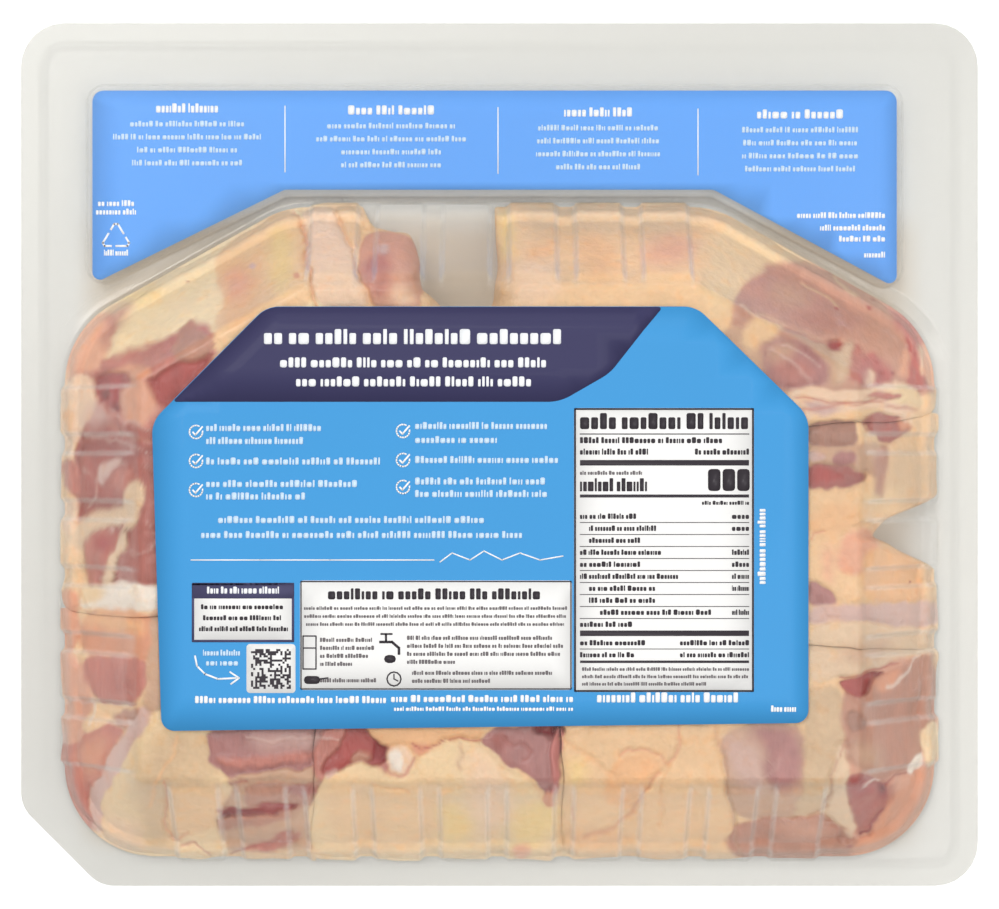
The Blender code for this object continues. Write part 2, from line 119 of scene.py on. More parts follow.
# Colours as seen in print and in plain daylight, from 0 to 255
PRINT_COLOURS = {
    "label_blue": (61, 149, 210),
    "banner_navy": (55, 53, 90),
    "panel_white": (240, 238, 235),
    "card_blue": (90, 158, 238),
    "ink_white": (246, 248, 250),
    "ink_pale": (202, 226, 248),
    "ink_black": (52, 46, 52),
    "ink_grey": (112, 106, 108),
}
TISSUE_COLOURS = {
    "fat": (242, 220, 182),
    "cream": (236, 206, 166),
    "ivory": (228, 198, 168),
    "yellow": (240, 208, 146),
    "skin": (236, 197, 156),
    "amber": (236, 186, 142),
    "peach": (238, 204, 176),
    "blush": (232, 174, 146),
    "pink": (221, 167, 143),
    "orange": (221, 158, 128),
    "rose": (200, 134, 122),
    "flesh": (182, 117, 108),
    "dusk": (172, 110, 104),
    "red": (178, 94, 90),
    "deep": (150, 60, 66),
    "mauve": (181, 130, 126),
    "lilac": (212, 178, 168),
    "tan": (206, 168, 142),
    "clay": (196, 146, 126),
    "umber": (178, 134, 118),
    "bone": (240, 226, 212),
    "hide": (214, 183, 150),
    "salmon": (208, 160, 140),
    "ruddy": (198, 128, 122),
}
# How far each tissue lies below the tray where nothing else is said, in mm
SUNK = {"red": 1.6, "deep": 2.6, "dusk": 0.9, "flesh": 0.5, "mauve": 0.7, "umber": 0.8, "lilac": 0.4}
# Share of muscle in each tissue; the rest is skin, fat or membrane
MUSCLE = {"pink": 0.4, "orange": 0.4, "rose": 1, "flesh": 1, "dusk": 1, "red": 1, "deep": 1,
          "mauve": 0.9, "clay": 0.9, "umber": 1, "tan": 0.3, "salmon": 0.7, "ruddy": 0.8}

# Plan of each thigh in mm: a star-shaped outline about its middle
THIGHS = {
    "thigh_top_left": ((-116, 34), (-57, 67), (-37, 66.5), (-33, 60.5), (-24, 59), (-20.5, 50),
                       (-20, 42), (-12, 35), (-8.4, 6), (-9, -36), (-53, -39), (-116, -41.5)),
    "thigh_top_right": ((-1, 67), (58, 67), (116, 34), (116, 9.6), (53, 6.8), (-5, 6.8), (-5.6, 33),
                        (-1.6, 40)),
    "thigh_right": ((-5.6, 6.2), (53, 6.2), (116, 9), (116, -12.5), (104, -14.5), (97, -20.5), (105, -26),
                    (116, -30), (116, -50.6), (53, -47.2), (16, -43.4), (-5.6, -38.5)),
    "thigh_bottom_left": ((-116, -42.1), (-53, -40), (-48.2, -49), (-49.2, -107), (-116, -107)),
    "thigh_bottom_middle": ((-50.5, -40.2), (-7.5, -40.2), (13.5, -44), (16, -107), (-49, -107),
                            (-46.6, -49)),
    "thigh_bottom_right": ((16.2, -44.4), (53, -47.8), (116, -51.2), (116, -107), (16.2, -107)),
}
# Where two thighs meet, the one that comes first here lies over the other's edge
LYING_OVER = ("thigh_top_left", "thigh_top_right", "thigh_right", "thigh_bottom_right",
              "thigh_bottom_middle", "thigh_bottom_left")
# Edges of a thigh: how far it reaches past its outline, how deep its rim lies below the tray,
# how far in its top and its underside level out, and how square the top's curve is, in mm
EDGES = {
    "over": (0.3, 0.7, 3.2, 5.5, 2.4),
    "under": (2.4, 4.6, 5.5, 3.0, 2.0),
    "free": (0.1, 13.0, 7.0, 6.0, 2.0),
    "walled": (0.1, 40.0, 1.6, 1.6, 4.0),
}
# Gaps between a thigh and the wall beside it and the tray over it, and the level of its underside
EDGE_CLEARANCE = 0.4
CONTACT = 0.5
FILM_TOP = 3.3
# How near another thigh's outline has to be for the two to meet there
MEETING_REACH = 3.0
# Rays round a thigh's middle, rings over its top and under it, and how many spokes to each side
# its rim is smoothed over
SPOKES = 600
TOP_ROWS = 104
UNDER_ROWS = 24
RIM_SMOOTHING = 9

# The clear sheet over the meat dims it to this share and adds this much white light:
# on the walls, and on the flat underside
SHEET_DIMMING = (0.9, 1.04)
SHEET_VEIL = (0.085, 0.05)
# More light lies over muscle on the walls, and a painted haze of the clear sheet pales the rim of the meat
WALL_MUSCLE_VEIL = (0.03, 0.045, 0.04)
PAINTED_RIM_HAZE = (0.70, 0.66, 0.60)
PAINTED_RIM_HAZE_SHARE = 0.22
# Distances inside the mouth in mm: where the flat underside begins, how far in the veil is as
# thin as there, and how far in the painted haze at the rim reaches
FLAT_FROM = (14, 22)
THIN_VEIL = (6, 2)
PAINTED_HAZE_REACH = (9, 1)
# Least and most light that a tissue gives back
TISSUE_RANGE = (0.004, 0.93)
# Share of the height of the walls by which the noise on them runs on outwards
WALL_UNROLLING = 0.35
# Share of each furrow's stated depth that is carved
FURROW_SHARE = 0.65
# Share of a clear sheet that mirrors: all over, and how much more at a glancing angle, on the
# strip beside the card, where it paints grey shade, and on the flanks of the ribs, where it paints glints
MIRROR_SHARE = 0.018
GLANCING_MIRROR = 0.55
STRIP_SHADE_SHARE = 0.3
PAINTED_GLINT_SHARE = 0.13
# Light that the tray and the film let through, with their haze, and that the film lets through
# where juice lies on it
TRAY_CLEARNESS = (0.992, 0.992, 0.986)
TRAY_HAZE = 0.006
FILM_CLEARNESS = (0.865, 0.863, 0.853)
FILM_HAZE = 0.02
JUICE_CLEARNESS = (0.83, 0.785, 0.725)
PLASTIC_WHITE = (238, 237, 232)
# Grey of the painted shade on the strip beside the card
STRIP_SHADE_GREY = (140, 134, 124)
WARM_FAT = (255, 226, 186)

# Studio: reach of the floor in mm; name, place in m, size in m and watts of each lamp; strength
# of the light from straight above, and the width in mm of the camera's sensor
FLOOR_REACH = 3000.0
LAMPS = (
    ("key_light", (-0.5, 0.58, 1.6), 0.9, 13.0),
    ("fill_light", (0.62, -0.3, 1.6), 1.1, 10.5),
    ("rim_light", (0.1, 1.3, 0.9), 0.7, 3.0),
)
ZENITH_LIGHT = 0.4
SENSOR_WIDTH = 36.0

# Areas of tissue, painted in this order: tissue, softness of the edge in plan units, depth of
# the furrow round it in mm, and the corners of its outline in plan units
AREAS = (
    # upper left
    ("fat", 8, 0, (55, 330, 287, 195, 335, 195, 335, 330, 215, 350, 165, 380, 100, 385, 60, 445)),
    ("rose", 6, 0, (60, 366, 120, 352, 170, 340, 200, 318, 222, 340, 214, 372, 166, 446, 60, 446)),
    ("yellow", 10, 0, (118, 292, 150, 282, 165, 292, 140, 306, 120, 304)),
    ("blush", 6, 0.3, (60, 372, 64, 345, 95, 312, 112, 318, 114, 335, 104, 352, 98, 372, 80, 372)),
    ("mauve", 9, 0, (108, 312, 134, 304, 124, 322, 112, 340, 100, 345)),
    ("peach", 4, 0.5, (60, 372, 94, 374, 96, 398, 88, 425, 80, 442, 60, 440)),
    ("amber", 5, 0, (64, 410, 76, 408, 78, 424, 68, 432)),
    ("skin", 4, 0.4, (218, 246, 240, 230, 262, 220, 287, 200, 299, 214, 306, 246, 319, 308, 268, 314,
                      232, 348, 212, 352, 213, 330, 222, 300, 215, 276)),
    ("amber", 9, 0, (222, 262, 250, 258, 262, 280, 255, 310, 236, 330, 222, 322, 226, 296)),
    ("blush", 9, 0, (224, 272, 242, 268, 248, 286, 238, 304, 224, 296)),
    ("yellow", 9, 0, (268, 230, 290, 226, 296, 262, 286, 296, 270, 290)),
    ("peach", 3, 0.8, (300, 205, 336, 203, 340, 224, 350, 250, 362, 284, 372, 310, 320, 310, 308, 262)),
    ("skin", 3, 0.9, (336, 203, 352, 203, 366, 218, 362, 234, 352, 250, 346, 240)),
    ("pink", 2, 0.9, (354, 244, 372, 232, 400, 230, 416, 242, 424, 264, 424, 292, 418, 312, 372, 312,
                      360, 284)),
    # Painted shade: the darker left side of the pink knob
    ("rose", 7, 0, (360, 262, 384, 252, 390, 276, 384, 300, 366, 296)),
    ("peach", 8, 0, (388, 290, 414, 286, 418, 306, 392, 308)),
    # Painted highlight: a small pale spot on the pink knob
    ("lilac", 4, 0, (376, 246, 386, 244, 386, 256, 378, 256)),
    ("clay", 2, 0.9, (176, 330, 186, 326, 190, 321, 198, 330, 214, 338, 212, 352, 208, 361, 190, 364,
                      177, 364, 173, 350)),
    ("red", 4, 0.5, (177, 362, 208, 358, 217, 354, 206, 370, 190, 385, 172, 405, 158, 402, 150, 392,
                     148, 380, 160, 374)),
    ("orange", 4, 0.6, (104, 372, 124, 361, 140, 362, 151, 370, 150, 380, 130, 380, 118, 382)),
    ("red", 3, 0.9, (94, 380, 104, 372, 120, 368, 133, 372, 126, 384, 120, 394, 118, 403, 122, 415,
                     110, 411, 96, 402, 92, 391)),
    ("deep", 4, 0, (96, 392, 104, 390, 106, 402, 99, 404)),
    ("deep", 4, 0, (108, 404, 118, 404, 120, 412, 112, 410)),
    ("pink", 5, 0.6, (121, 388, 130, 379, 148, 379, 152, 392, 158, 404, 150, 420, 140, 427, 127, 420,
                      120, 404)),
    # left side
    ("flesh", 4, 0.4, (80, 440, 84, 426, 100, 412, 120, 424, 146, 428, 160, 440, 160, 600, 90, 600, 74,
                       520, 74, 460)),
    ("lilac", 8, 0, (86, 410, 98, 404, 112, 414, 104, 426, 88, 424)),
    ("dusk", 6, 0, (80, 440, 150, 440, 152, 462, 80, 458)),
    ("rose", 4, 0.5, (60, 458, 77, 461, 80, 480, 79, 502, 70, 498, 62, 486)),
    ("peach", 3, 0.4, (58, 434, 76, 442, 76, 458, 60, 458)),
    ("peach", 4, 0.4, (58, 500, 76, 504, 76, 526, 66, 536, 58, 536)),
    ("lilac", 3, 0.5, (97, 480, 102, 466, 116, 459, 124, 463, 112, 471, 108, 482, 104, 489)),
    ("rose", 5, 0.3, (112, 474, 124, 468, 136, 474, 134, 492, 120, 498, 110, 488)),
    ("ivory", 3, 0.7, (124, 494, 129, 484, 136, 479, 143, 488, 145, 500, 140, 515, 132, 530, 122, 530,
                       123, 512)),
    ("ivory", 4, 0.6, (75, 528, 82, 519, 100, 511, 118, 507, 127, 512, 125, 523, 106, 526, 90, 531, 84,
                       541, 80, 552, 66, 562, 58, 540)),
    ("flesh", 3, 0.7, (128, 536, 160, 528, 160, 590, 120, 587, 111, 580, 117, 562, 124, 552)),
    ("rose", 3, 0.8, (80, 548, 88, 534, 98, 527, 112, 527, 121, 537, 116, 549, 108, 561, 100, 576, 96,
                      590, 90, 588, 84, 571)),
    ("red", 7, 0, (94, 532, 112, 532, 116, 542, 104, 552, 94, 546)),
    ("ivory", 3, 0.7, (120, 527, 129, 533, 125, 552, 117, 566, 111, 581, 109, 592, 99, 592, 100, 576,
                       108, 560, 116, 548, 121, 538)),
    ("skin", 5, 0.5, (58, 540, 74, 548, 81, 560, 86, 576, 88, 592, 60, 594)),
    ("bone", 3, 0.9, (78, 600, 84, 590, 100, 585, 122, 582, 150, 585, 164, 586, 164, 606, 130, 610,
                      100, 611, 80, 607)),
    ("cream", 6, 0, (78, 586, 96, 582, 104, 592, 96, 604, 80, 604)),
    ("orange", 5, 0.5, (79, 611, 164, 609, 164, 640, 150, 662, 80, 660)),
    ("amber", 9, 0, (84, 614, 140, 612, 142, 632, 86, 630)),
    ("orange", 3, 0.6, (58, 590, 75, 586, 80, 612, 80, 650, 70, 656, 64, 640, 58, 612)),
    ("rose", 4, 0.5, (80, 656, 148, 654, 150, 672, 142, 692, 130, 704, 100, 706, 92, 696, 84, 680)),
    ("flesh", 9, 0, (104, 668, 138, 668, 136, 692, 112, 698)),
    ("pink", 4, 0.7, (58, 650, 74, 650, 84, 664, 90, 690, 94, 706, 86, 714, 68, 702, 58, 682)),
    ("tan", 4, 0.4, (146, 604, 170, 604, 172, 735, 150, 738, 140, 704, 149, 672)),
    # lower left
    ("clay", 6, 0, (200, 722, 345, 722, 345, 790, 318, 822, 214, 832, 204, 780)),
    ("cream", 5, 0.6, (150, 700, 212, 726, 208, 750, 213, 768, 229, 778, 231, 790, 223, 808, 218, 822,
                       222, 840, 230, 864, 150, 864, 98, 850, 98, 830, 102, 808, 110, 782, 122, 762,
                       138, 736)),
    ("hide", 12, 0, (150, 730, 212, 730, 214, 790, 178, 840, 150, 850, 128, 800)),
    ("skin", 7, 0.3, (164, 786, 196, 782, 226, 790, 222, 812, 212, 832, 176, 838, 165, 826)),
    ("peach", 8, 0, (104, 812, 128, 816, 150, 846, 120, 852, 98, 838)),
    ("rose", 5, 0.4, (58, 735, 85, 728, 105, 726, 124, 730, 110, 756, 98, 782, 90, 806, 95, 834, 78,
                      822, 64, 795, 56, 765)),
    ("orange", 9, 0, (78, 742, 108, 738, 108, 752, 92, 782, 78, 778)),
    ("rose", 7, 0, (60, 768, 84, 764, 84, 800, 72, 802)),
    ("pink", 4, 0.5, (58, 702, 84, 700, 92, 708, 88, 726, 80, 744, 58, 744)),
    ("lilac", 5, 0, (58, 716, 66, 716, 66, 742, 60, 750)),
    ("skin", 3, 0.6, (91, 704, 101, 716, 110, 719, 102, 730, 84, 736, 80, 726, 88, 716)),
    ("clay", 4, 0.4, (108, 720, 124, 712, 140, 702, 142, 712, 128, 730, 118, 732)),
    ("lilac", 3, 0.7, (143, 700, 152, 712, 139, 738, 123, 765, 111, 785, 104, 806, 99, 830, 90, 834,
                       90, 802, 98, 778, 110, 754, 126, 728, 135, 714)),
    ("mauve", 2, 0.8, (204, 726, 350, 722, 344, 745, 332, 758, 300, 769, 268, 779, 240, 780, 226, 776,
                       210, 768, 206, 750)),
    ("lilac", 12, 0, (244, 734, 326, 734, 318, 748, 256, 750)),
    ("rose", 6, 0, (212, 756, 236, 760, 300, 752, 322, 750, 300, 764, 244, 772, 218, 768)),
    ("tan", 2, 0.5, (224, 779, 262, 775, 300, 768, 331, 766, 322, 779, 290, 783, 262, 782, 232, 790)),
    ("tan", 5, 0.3, (214, 786, 322, 780, 316, 864, 222, 864)),
    ("clay", 3, 0.8, (240, 792, 262, 784, 322, 782, 320, 795, 308, 808, 298, 814, 280, 818, 262, 812,
                      244, 808)),
    ("flesh", 5, 0, (288, 784, 320, 784, 316, 796, 292, 798)),
    ("red", 3, 0.3, (218, 809, 240, 812, 266, 804, 300, 806, 294, 814, 262, 816, 235, 820, 220, 818)),
    ("clay", 3, 0.6, (216, 820, 262, 816, 300, 816, 278, 824, 240, 829, 222, 833)),
    ("rose", 5, 0.3, (232, 852, 256, 842, 290, 832, 304, 830, 290, 842, 256, 852)),
    ("skin", 6, 0, (222, 850, 316, 848, 316, 864, 222, 864)),
    # lower middle
    ("rose", 5, 0, (312, 720, 400, 720, 404, 776, 312, 790)),
    ("red", 3, 0.6, (320, 774, 330, 756, 344, 740, 346, 722, 364, 722, 374, 742, 388, 747, 390, 760,
                     380, 766, 358, 764, 342, 768)),
    ("deep", 4, 0, (372, 740, 386, 742, 388, 758, 380, 766, 372, 752)),
    ("clay", 5, 0, (352, 752, 370, 752, 372, 762, 354, 764)),
    ("amber", 3, 0.7, (362, 722, 484, 722, 480, 738, 456, 739, 432, 746, 412, 751, 395, 750, 377, 742,
                       368, 735)),
    ("orange", 5, 0, (412, 742, 432, 740, 428, 756, 416, 754)),
    ("cream", 2, 1.0, (309, 866, 309, 808, 316, 795, 322, 781, 334, 770, 350, 763, 368, 762, 380, 768,
                       390, 776, 402, 779, 414, 770, 427, 755, 442, 744, 456, 740, 470, 737, 481, 742,
                       492, 751, 506, 766, 521, 775, 536, 792, 546, 806, 558, 822, 562, 866)),
    ("skin", 12, 0, (320, 790, 350, 772, 400, 790, 440, 770, 452, 810, 430, 850, 330, 850)),
    ("peach", 12, 0, (462, 752, 486, 750, 510, 780, 512, 820, 480, 840, 466, 800)),
    ("yellow", 9, 0, (514, 812, 560, 800, 566, 830, 530, 850, 512, 840)),
    ("yellow", 9, 0, (440, 800, 470, 812, 466, 844, 442, 838)),
    ("blush", 5, 0, (516, 846, 530, 838, 530, 858, 518, 858)),
    ("peach", 3, 0.6, (384, 752, 398, 746, 413, 752, 418, 762, 409, 775, 398, 777, 388, 769)),
    ("bone", 2, 0.5, (388, 754, 396, 750, 404, 754, 406, 766, 400, 775, 391, 768)),
    ("lilac", 3, 0, (328, 770, 340, 765, 334, 776, 328, 779)),
    ("mauve", 2, 0.9, (477, 742, 486, 733, 498, 724, 558, 722, 560, 792, 552, 803, 544, 796, 534, 781,
                       520, 772, 506, 766, 494, 752)),
    ("dusk", 6, 0, (488, 736, 506, 732, 508, 748, 500, 754, 492, 748)),
    ("deep", 4, 0.4, (530, 722, 566, 722, 564, 738, 540, 735)),
    ("ruddy", 3, 0.6, (553, 726, 565, 726, 563, 760, 562, 788, 558, 800, 552, 806, 554, 770)),
    ("orange", 3, 0, (544, 794, 558, 794, 558, 806, 546, 808)),
    # lower right
    ("skin", 3, 0.7, (562, 722, 717, 722, 721, 750, 725, 775, 729, 800, 735, 830, 746, 868, 562, 868,
                      562, 802)),
    # Painted shade: this amber patch in the hollow between two skin folds
    ("amber", 6, 0, (622, 757, 642, 752, 656, 760, 662, 770, 650, 786, 628, 812, 606, 806, 606, 772)),
    ("yellow", 8, 0, (566, 760, 584, 758, 586, 782, 570, 786)),
    ("amber", 9, 0, (564, 826, 600, 838, 620, 832, 626, 846, 566, 850)),
    ("pink", 6, 0, (838, 676, 942, 640, 942, 800, 880, 868, 838, 868, 850, 780)),
    ("clay", 6, 0, (722, 824, 846, 816, 872, 868, 736, 868)),
    ("skin", 10, 0, (668, 766, 690, 748, 716, 762, 726, 800, 700, 820, 670, 810)),
    ("tan", 3, 0.6, (717, 722, 812, 720, 812, 812, 790, 822, 732, 822, 726, 785)),
    ("lilac", 9, 0, (722, 730, 752, 734, 762, 760, 764, 792, 744, 790, 728, 768)),
    ("mauve", 14, 0.2, (744, 724, 792, 726, 803, 742, 804, 762, 800, 785, 784, 796, 768, 786, 761, 770,
                        765, 750)),
    ("mauve", 7, 0, (764, 762, 780, 752, 796, 756, 798, 776, 778, 786, 764, 776)),
    ("hide", 4, 0.5, (800, 684, 812, 690, 838, 688, 846, 720, 846, 745, 836, 770, 834, 796, 824, 811,
                      810, 820, 795, 822, 803, 792, 806, 740)),
    ("clay", 3, 0.7, (726, 828, 760, 820, 810, 821, 820, 813, 836, 822, 844, 836, 868, 846, 850, 866,
                      800, 868, 752, 864, 738, 850)),
    ("pink", 8, 0, (772, 824, 816, 822, 836, 836, 800, 842)),
    ("ivory", 4, 0.6, (836, 745, 850, 745, 851, 775, 856, 800, 859, 826, 850, 836, 838, 823, 823, 810,
                       834, 795)),
    ("clay", 5, 0.4, (838, 696, 872, 684, 906, 660, 940, 650, 940, 728, 926, 748, 905, 772, 885, 782,
                      866, 770, 848, 760, 846, 735)),
    ("tan", 8, 0, (846, 742, 880, 744, 886, 768, 862, 768)),
    ("umber", 2, 0.5, (846, 712, 862, 715, 872, 728, 861, 733, 852, 738)),
    ("orange", 5, 0.5, (884, 802, 900, 790, 915, 776, 926, 762, 942, 765, 932, 815, 910, 842, 882, 862,
                        846, 868, 852, 846, 870, 831, 880, 818)),
    ("pink", 7, 0, (888, 800, 908, 786, 928, 776, 920, 806, 900, 826, 884, 826)),
    ("flesh", 3, 0.8, (849, 779, 860, 771, 872, 775, 886, 785, 886, 802, 880, 817, 870, 830, 861, 836,
                       855, 815, 849, 795)),
    ("red", 6, 0, (852, 776, 870, 776, 878, 790, 862, 796, 852, 790)),
    ("deep", 7, 0, (879, 782, 890, 782, 890, 800, 881, 800)),
    ("bone", 2, 0.4, (904, 768, 914, 758, 923, 750, 923, 764, 912, 774)),
    ("cream", 3, 0.4, (922, 730, 940, 722, 942, 760, 925, 768)),
    # right side
    ("tan", 4, 0.3, (806, 440, 862, 440, 888, 444, 888, 482, 870, 470, 855, 467, 806, 468)),
    ("mauve", 4, 0, (834, 451, 858, 448, 859, 463, 838, 466)),
    ("lilac", 3, 0, (810, 452, 826, 450, 828, 459, 812, 463)),
    ("umber", 2, 0.8, (806, 423, 822, 416, 855, 416, 861, 425, 863, 440, 850, 445, 806, 446)),
    ("skin", 5, 0.4, (800, 488, 858, 486, 870, 474, 886, 478, 890, 444, 942, 436, 942, 606, 800, 612)),
    ("hide", 9, 0, (892, 450, 934, 446, 934, 496, 900, 504, 888, 480)),
    ("cream", 9, 0, (862, 490, 900, 488, 900, 506, 868, 512)),
    ("amber", 8, 0, (810, 508, 850, 500, 862, 520, 850, 538, 812, 540)),
    ("blush", 7, 0.3, (843, 538, 860, 527, 874, 536, 882, 552, 872, 572, 850, 577, 838, 562)),
    ("blush", 8, 0, (824, 548, 838, 548, 836, 584, 826, 580)),
    ("amber", 6, 0.3, (862, 556, 885, 545, 906, 551, 922, 572, 928, 600, 880, 608, 862, 592)),
    ("clay", 6, 0, (878, 446, 890, 446, 887, 482, 882, 500, 877, 480)),
    ("dusk", 3, 0.9, (806, 466, 835, 463, 860, 466, 873, 474, 860, 483, 835, 488, 806, 491)),
    ("red", 6, 0, (806, 468, 830, 467, 850, 476, 830, 484, 806, 488)),
    ("mauve", 3, 0.6, (806, 583, 820, 586, 839, 600, 838, 605, 806, 610)),
    ("lilac", 4, 0.7, (806, 609, 840, 604, 870, 606, 900, 603, 920, 600, 942, 604, 942, 626, 900, 633,
                       870, 620, 840, 622, 806, 626)),
    ("ivory", 4, 0.4, (806, 626, 845, 618, 872, 622, 900, 632, 942, 626, 942, 650, 900, 656, 880, 668,
                       840, 680, 806, 688)),
    ("tan", 10, 0, (840, 640, 890, 640, 880, 660, 840, 668)),
    ("red", 2, 0.9, (836, 684, 858, 678, 886, 671, 874, 682, 869, 696, 855, 701, 842, 693)),
    ("orange", 6, 0, (872, 684, 890, 672, 902, 668, 892, 684, 878, 694)),
    ("flesh", 2, 0.9, (864, 416, 886, 412, 906, 416, 914, 427, 906, 439, 890, 446, 877, 438, 867, 425)),
    ("orange", 5, 0, (898, 416, 914, 424, 906, 436, 900, 432)),
    # upper right
    ("skin", 6, 0, (494, 195, 720, 195, 760, 226, 812, 262, 740, 292, 728, 316, 700, 316, 494, 316)),
    ("hide", 12, 0, (520, 200, 700, 200, 700, 232, 520, 236)),
    ("yellow", 8, 0, (494, 212, 512, 210, 512, 250, 498, 262)),
    ("peach", 10, 0, (512, 262, 556, 258, 560, 306, 512, 308)),
    ("amber", 7, 0, (520, 254, 545, 238, 562, 238, 556, 252, 530, 263)),
    ("amber", 10, 0, (578, 238, 602, 234, 620, 250, 616, 280, 592, 286, 576, 262)),
    ("blush", 12, 0, (645, 236, 690, 232, 694, 262, 650, 266)),
    ("cream", 10, 0, (706, 236, 736, 214, 800, 254, 800, 274, 756, 278, 735, 300, 726, 316, 702, 310)),
    ("salmon", 6, 0, (726, 304, 760, 268, 806, 258, 872, 286, 942, 344, 942, 400, 850, 402, 790, 404,
                      736, 352)),
    ("salmon", 7, 0.5, (756, 277, 772, 275, 802, 277, 832, 290, 857, 310, 862, 332, 852, 344, 832, 342,
                        815, 338, 795, 332, 782, 328, 769, 320, 757, 314, 750, 321, 738, 327, 729, 329,
                        729, 318, 735, 300, 745, 288)),
    ("clay", 9, 0, (736, 300, 752, 300, 752, 318, 734, 324)),
    ("clay", 10, 0, (784, 312, 850, 318, 848, 336, 800, 328)),
    ("tan", 10, 0, (766, 284, 800, 284, 816, 300, 780, 306)),
    ("salmon", 6, 0.4, (798, 272, 830, 268, 862, 284, 884, 298, 890, 312, 872, 322, 852, 312, 826, 291,
                        806, 284)),
    ("tan", 4, 0.5, (724, 328, 746, 328, 754, 345, 766, 360, 776, 380, 800, 396, 800, 420, 760, 400,
                     724, 350)),
    ("mauve", 6, 0.5, (761, 348, 778, 338, 800, 341, 819, 351, 831, 364, 831, 380, 818, 388, 800, 389,
                       788, 393, 774, 385, 764, 372)),
    ("tan", 8, 0, (764, 350, 784, 342, 800, 348, 790, 362, 770, 366)),
    ("rose", 9, 0, (776, 360, 806, 362, 816, 378, 796, 386, 780, 380)),
    ("skin", 7, 0.3, (744, 330, 754, 318, 766, 313, 776, 320, 788, 326, 776, 338, 764, 344, 752, 352,
                      742, 342)),
    ("tan", 6, 0.3, (782, 327, 800, 331, 820, 337, 833, 343, 851, 342, 856, 350, 852, 372, 843, 386,
                     831, 386, 833, 365, 820, 350, 800, 340)),
    ("ivory", 7, 0, (836, 348, 850, 346, 850, 372, 840, 382)),
    ("red", 3, 0.3, (827, 341, 844, 342, 838, 353)),
    ("salmon", 6, 0.3, (850, 342, 858, 334, 870, 328, 895, 322, 905, 335, 907, 350, 896, 363, 885, 369,
                        876, 360, 868, 346)),
    ("rose", 4, 0, (852, 346, 862, 346, 860, 364, 857, 380, 850, 378)),
    ("ruddy", 6, 0.4, (856, 366, 864, 352, 874, 352, 884, 362, 896, 370, 890, 382, 874, 386, 858, 381)),
    ("red", 7, 0, (866, 366, 880, 366, 884, 376, 870, 380)),
    ("peach", 5, 0, (866, 372, 873, 370, 874, 382, 867, 383)),
    ("ruddy", 5, 0.4, (884, 304, 902, 310, 918, 324, 934, 350, 938, 386, 924, 390, 905, 386, 903, 366,
                       909, 350, 903, 335, 895, 322)),
    ("blush", 3, 0.3, (920, 338, 934, 350, 940, 388, 924, 386)),
    ("blush", 4, 0.3, (901, 346, 908, 350, 905, 366, 905, 380, 899, 372)),
    ("peach", 4, 0.3, (917, 342, 922, 345, 923, 376, 918, 373)),
    ("peach", 3, 0.5, (786, 392, 815, 386, 850, 391, 880, 384, 900, 378, 917, 390, 926, 400, 935, 420,
                       935, 442, 914, 430, 900, 415, 880, 408, 850, 410, 815, 408, 806, 424, 796,
                       410)),
    ("skin", 4, 0.3, (912, 398, 942, 392, 942, 445, 914, 446, 910, 420)),
    ("cream", 3, 0.4, (883, 392, 900, 378, 917, 390, 924, 402, 914, 408, 898, 402)),
    ("rose", 2, 0.5, (866, 394, 884, 388, 906, 394, 890, 398, 876, 398)),
    ("lilac", 5, 0, (798, 400, 842, 402, 838, 412, 810, 412)),
)

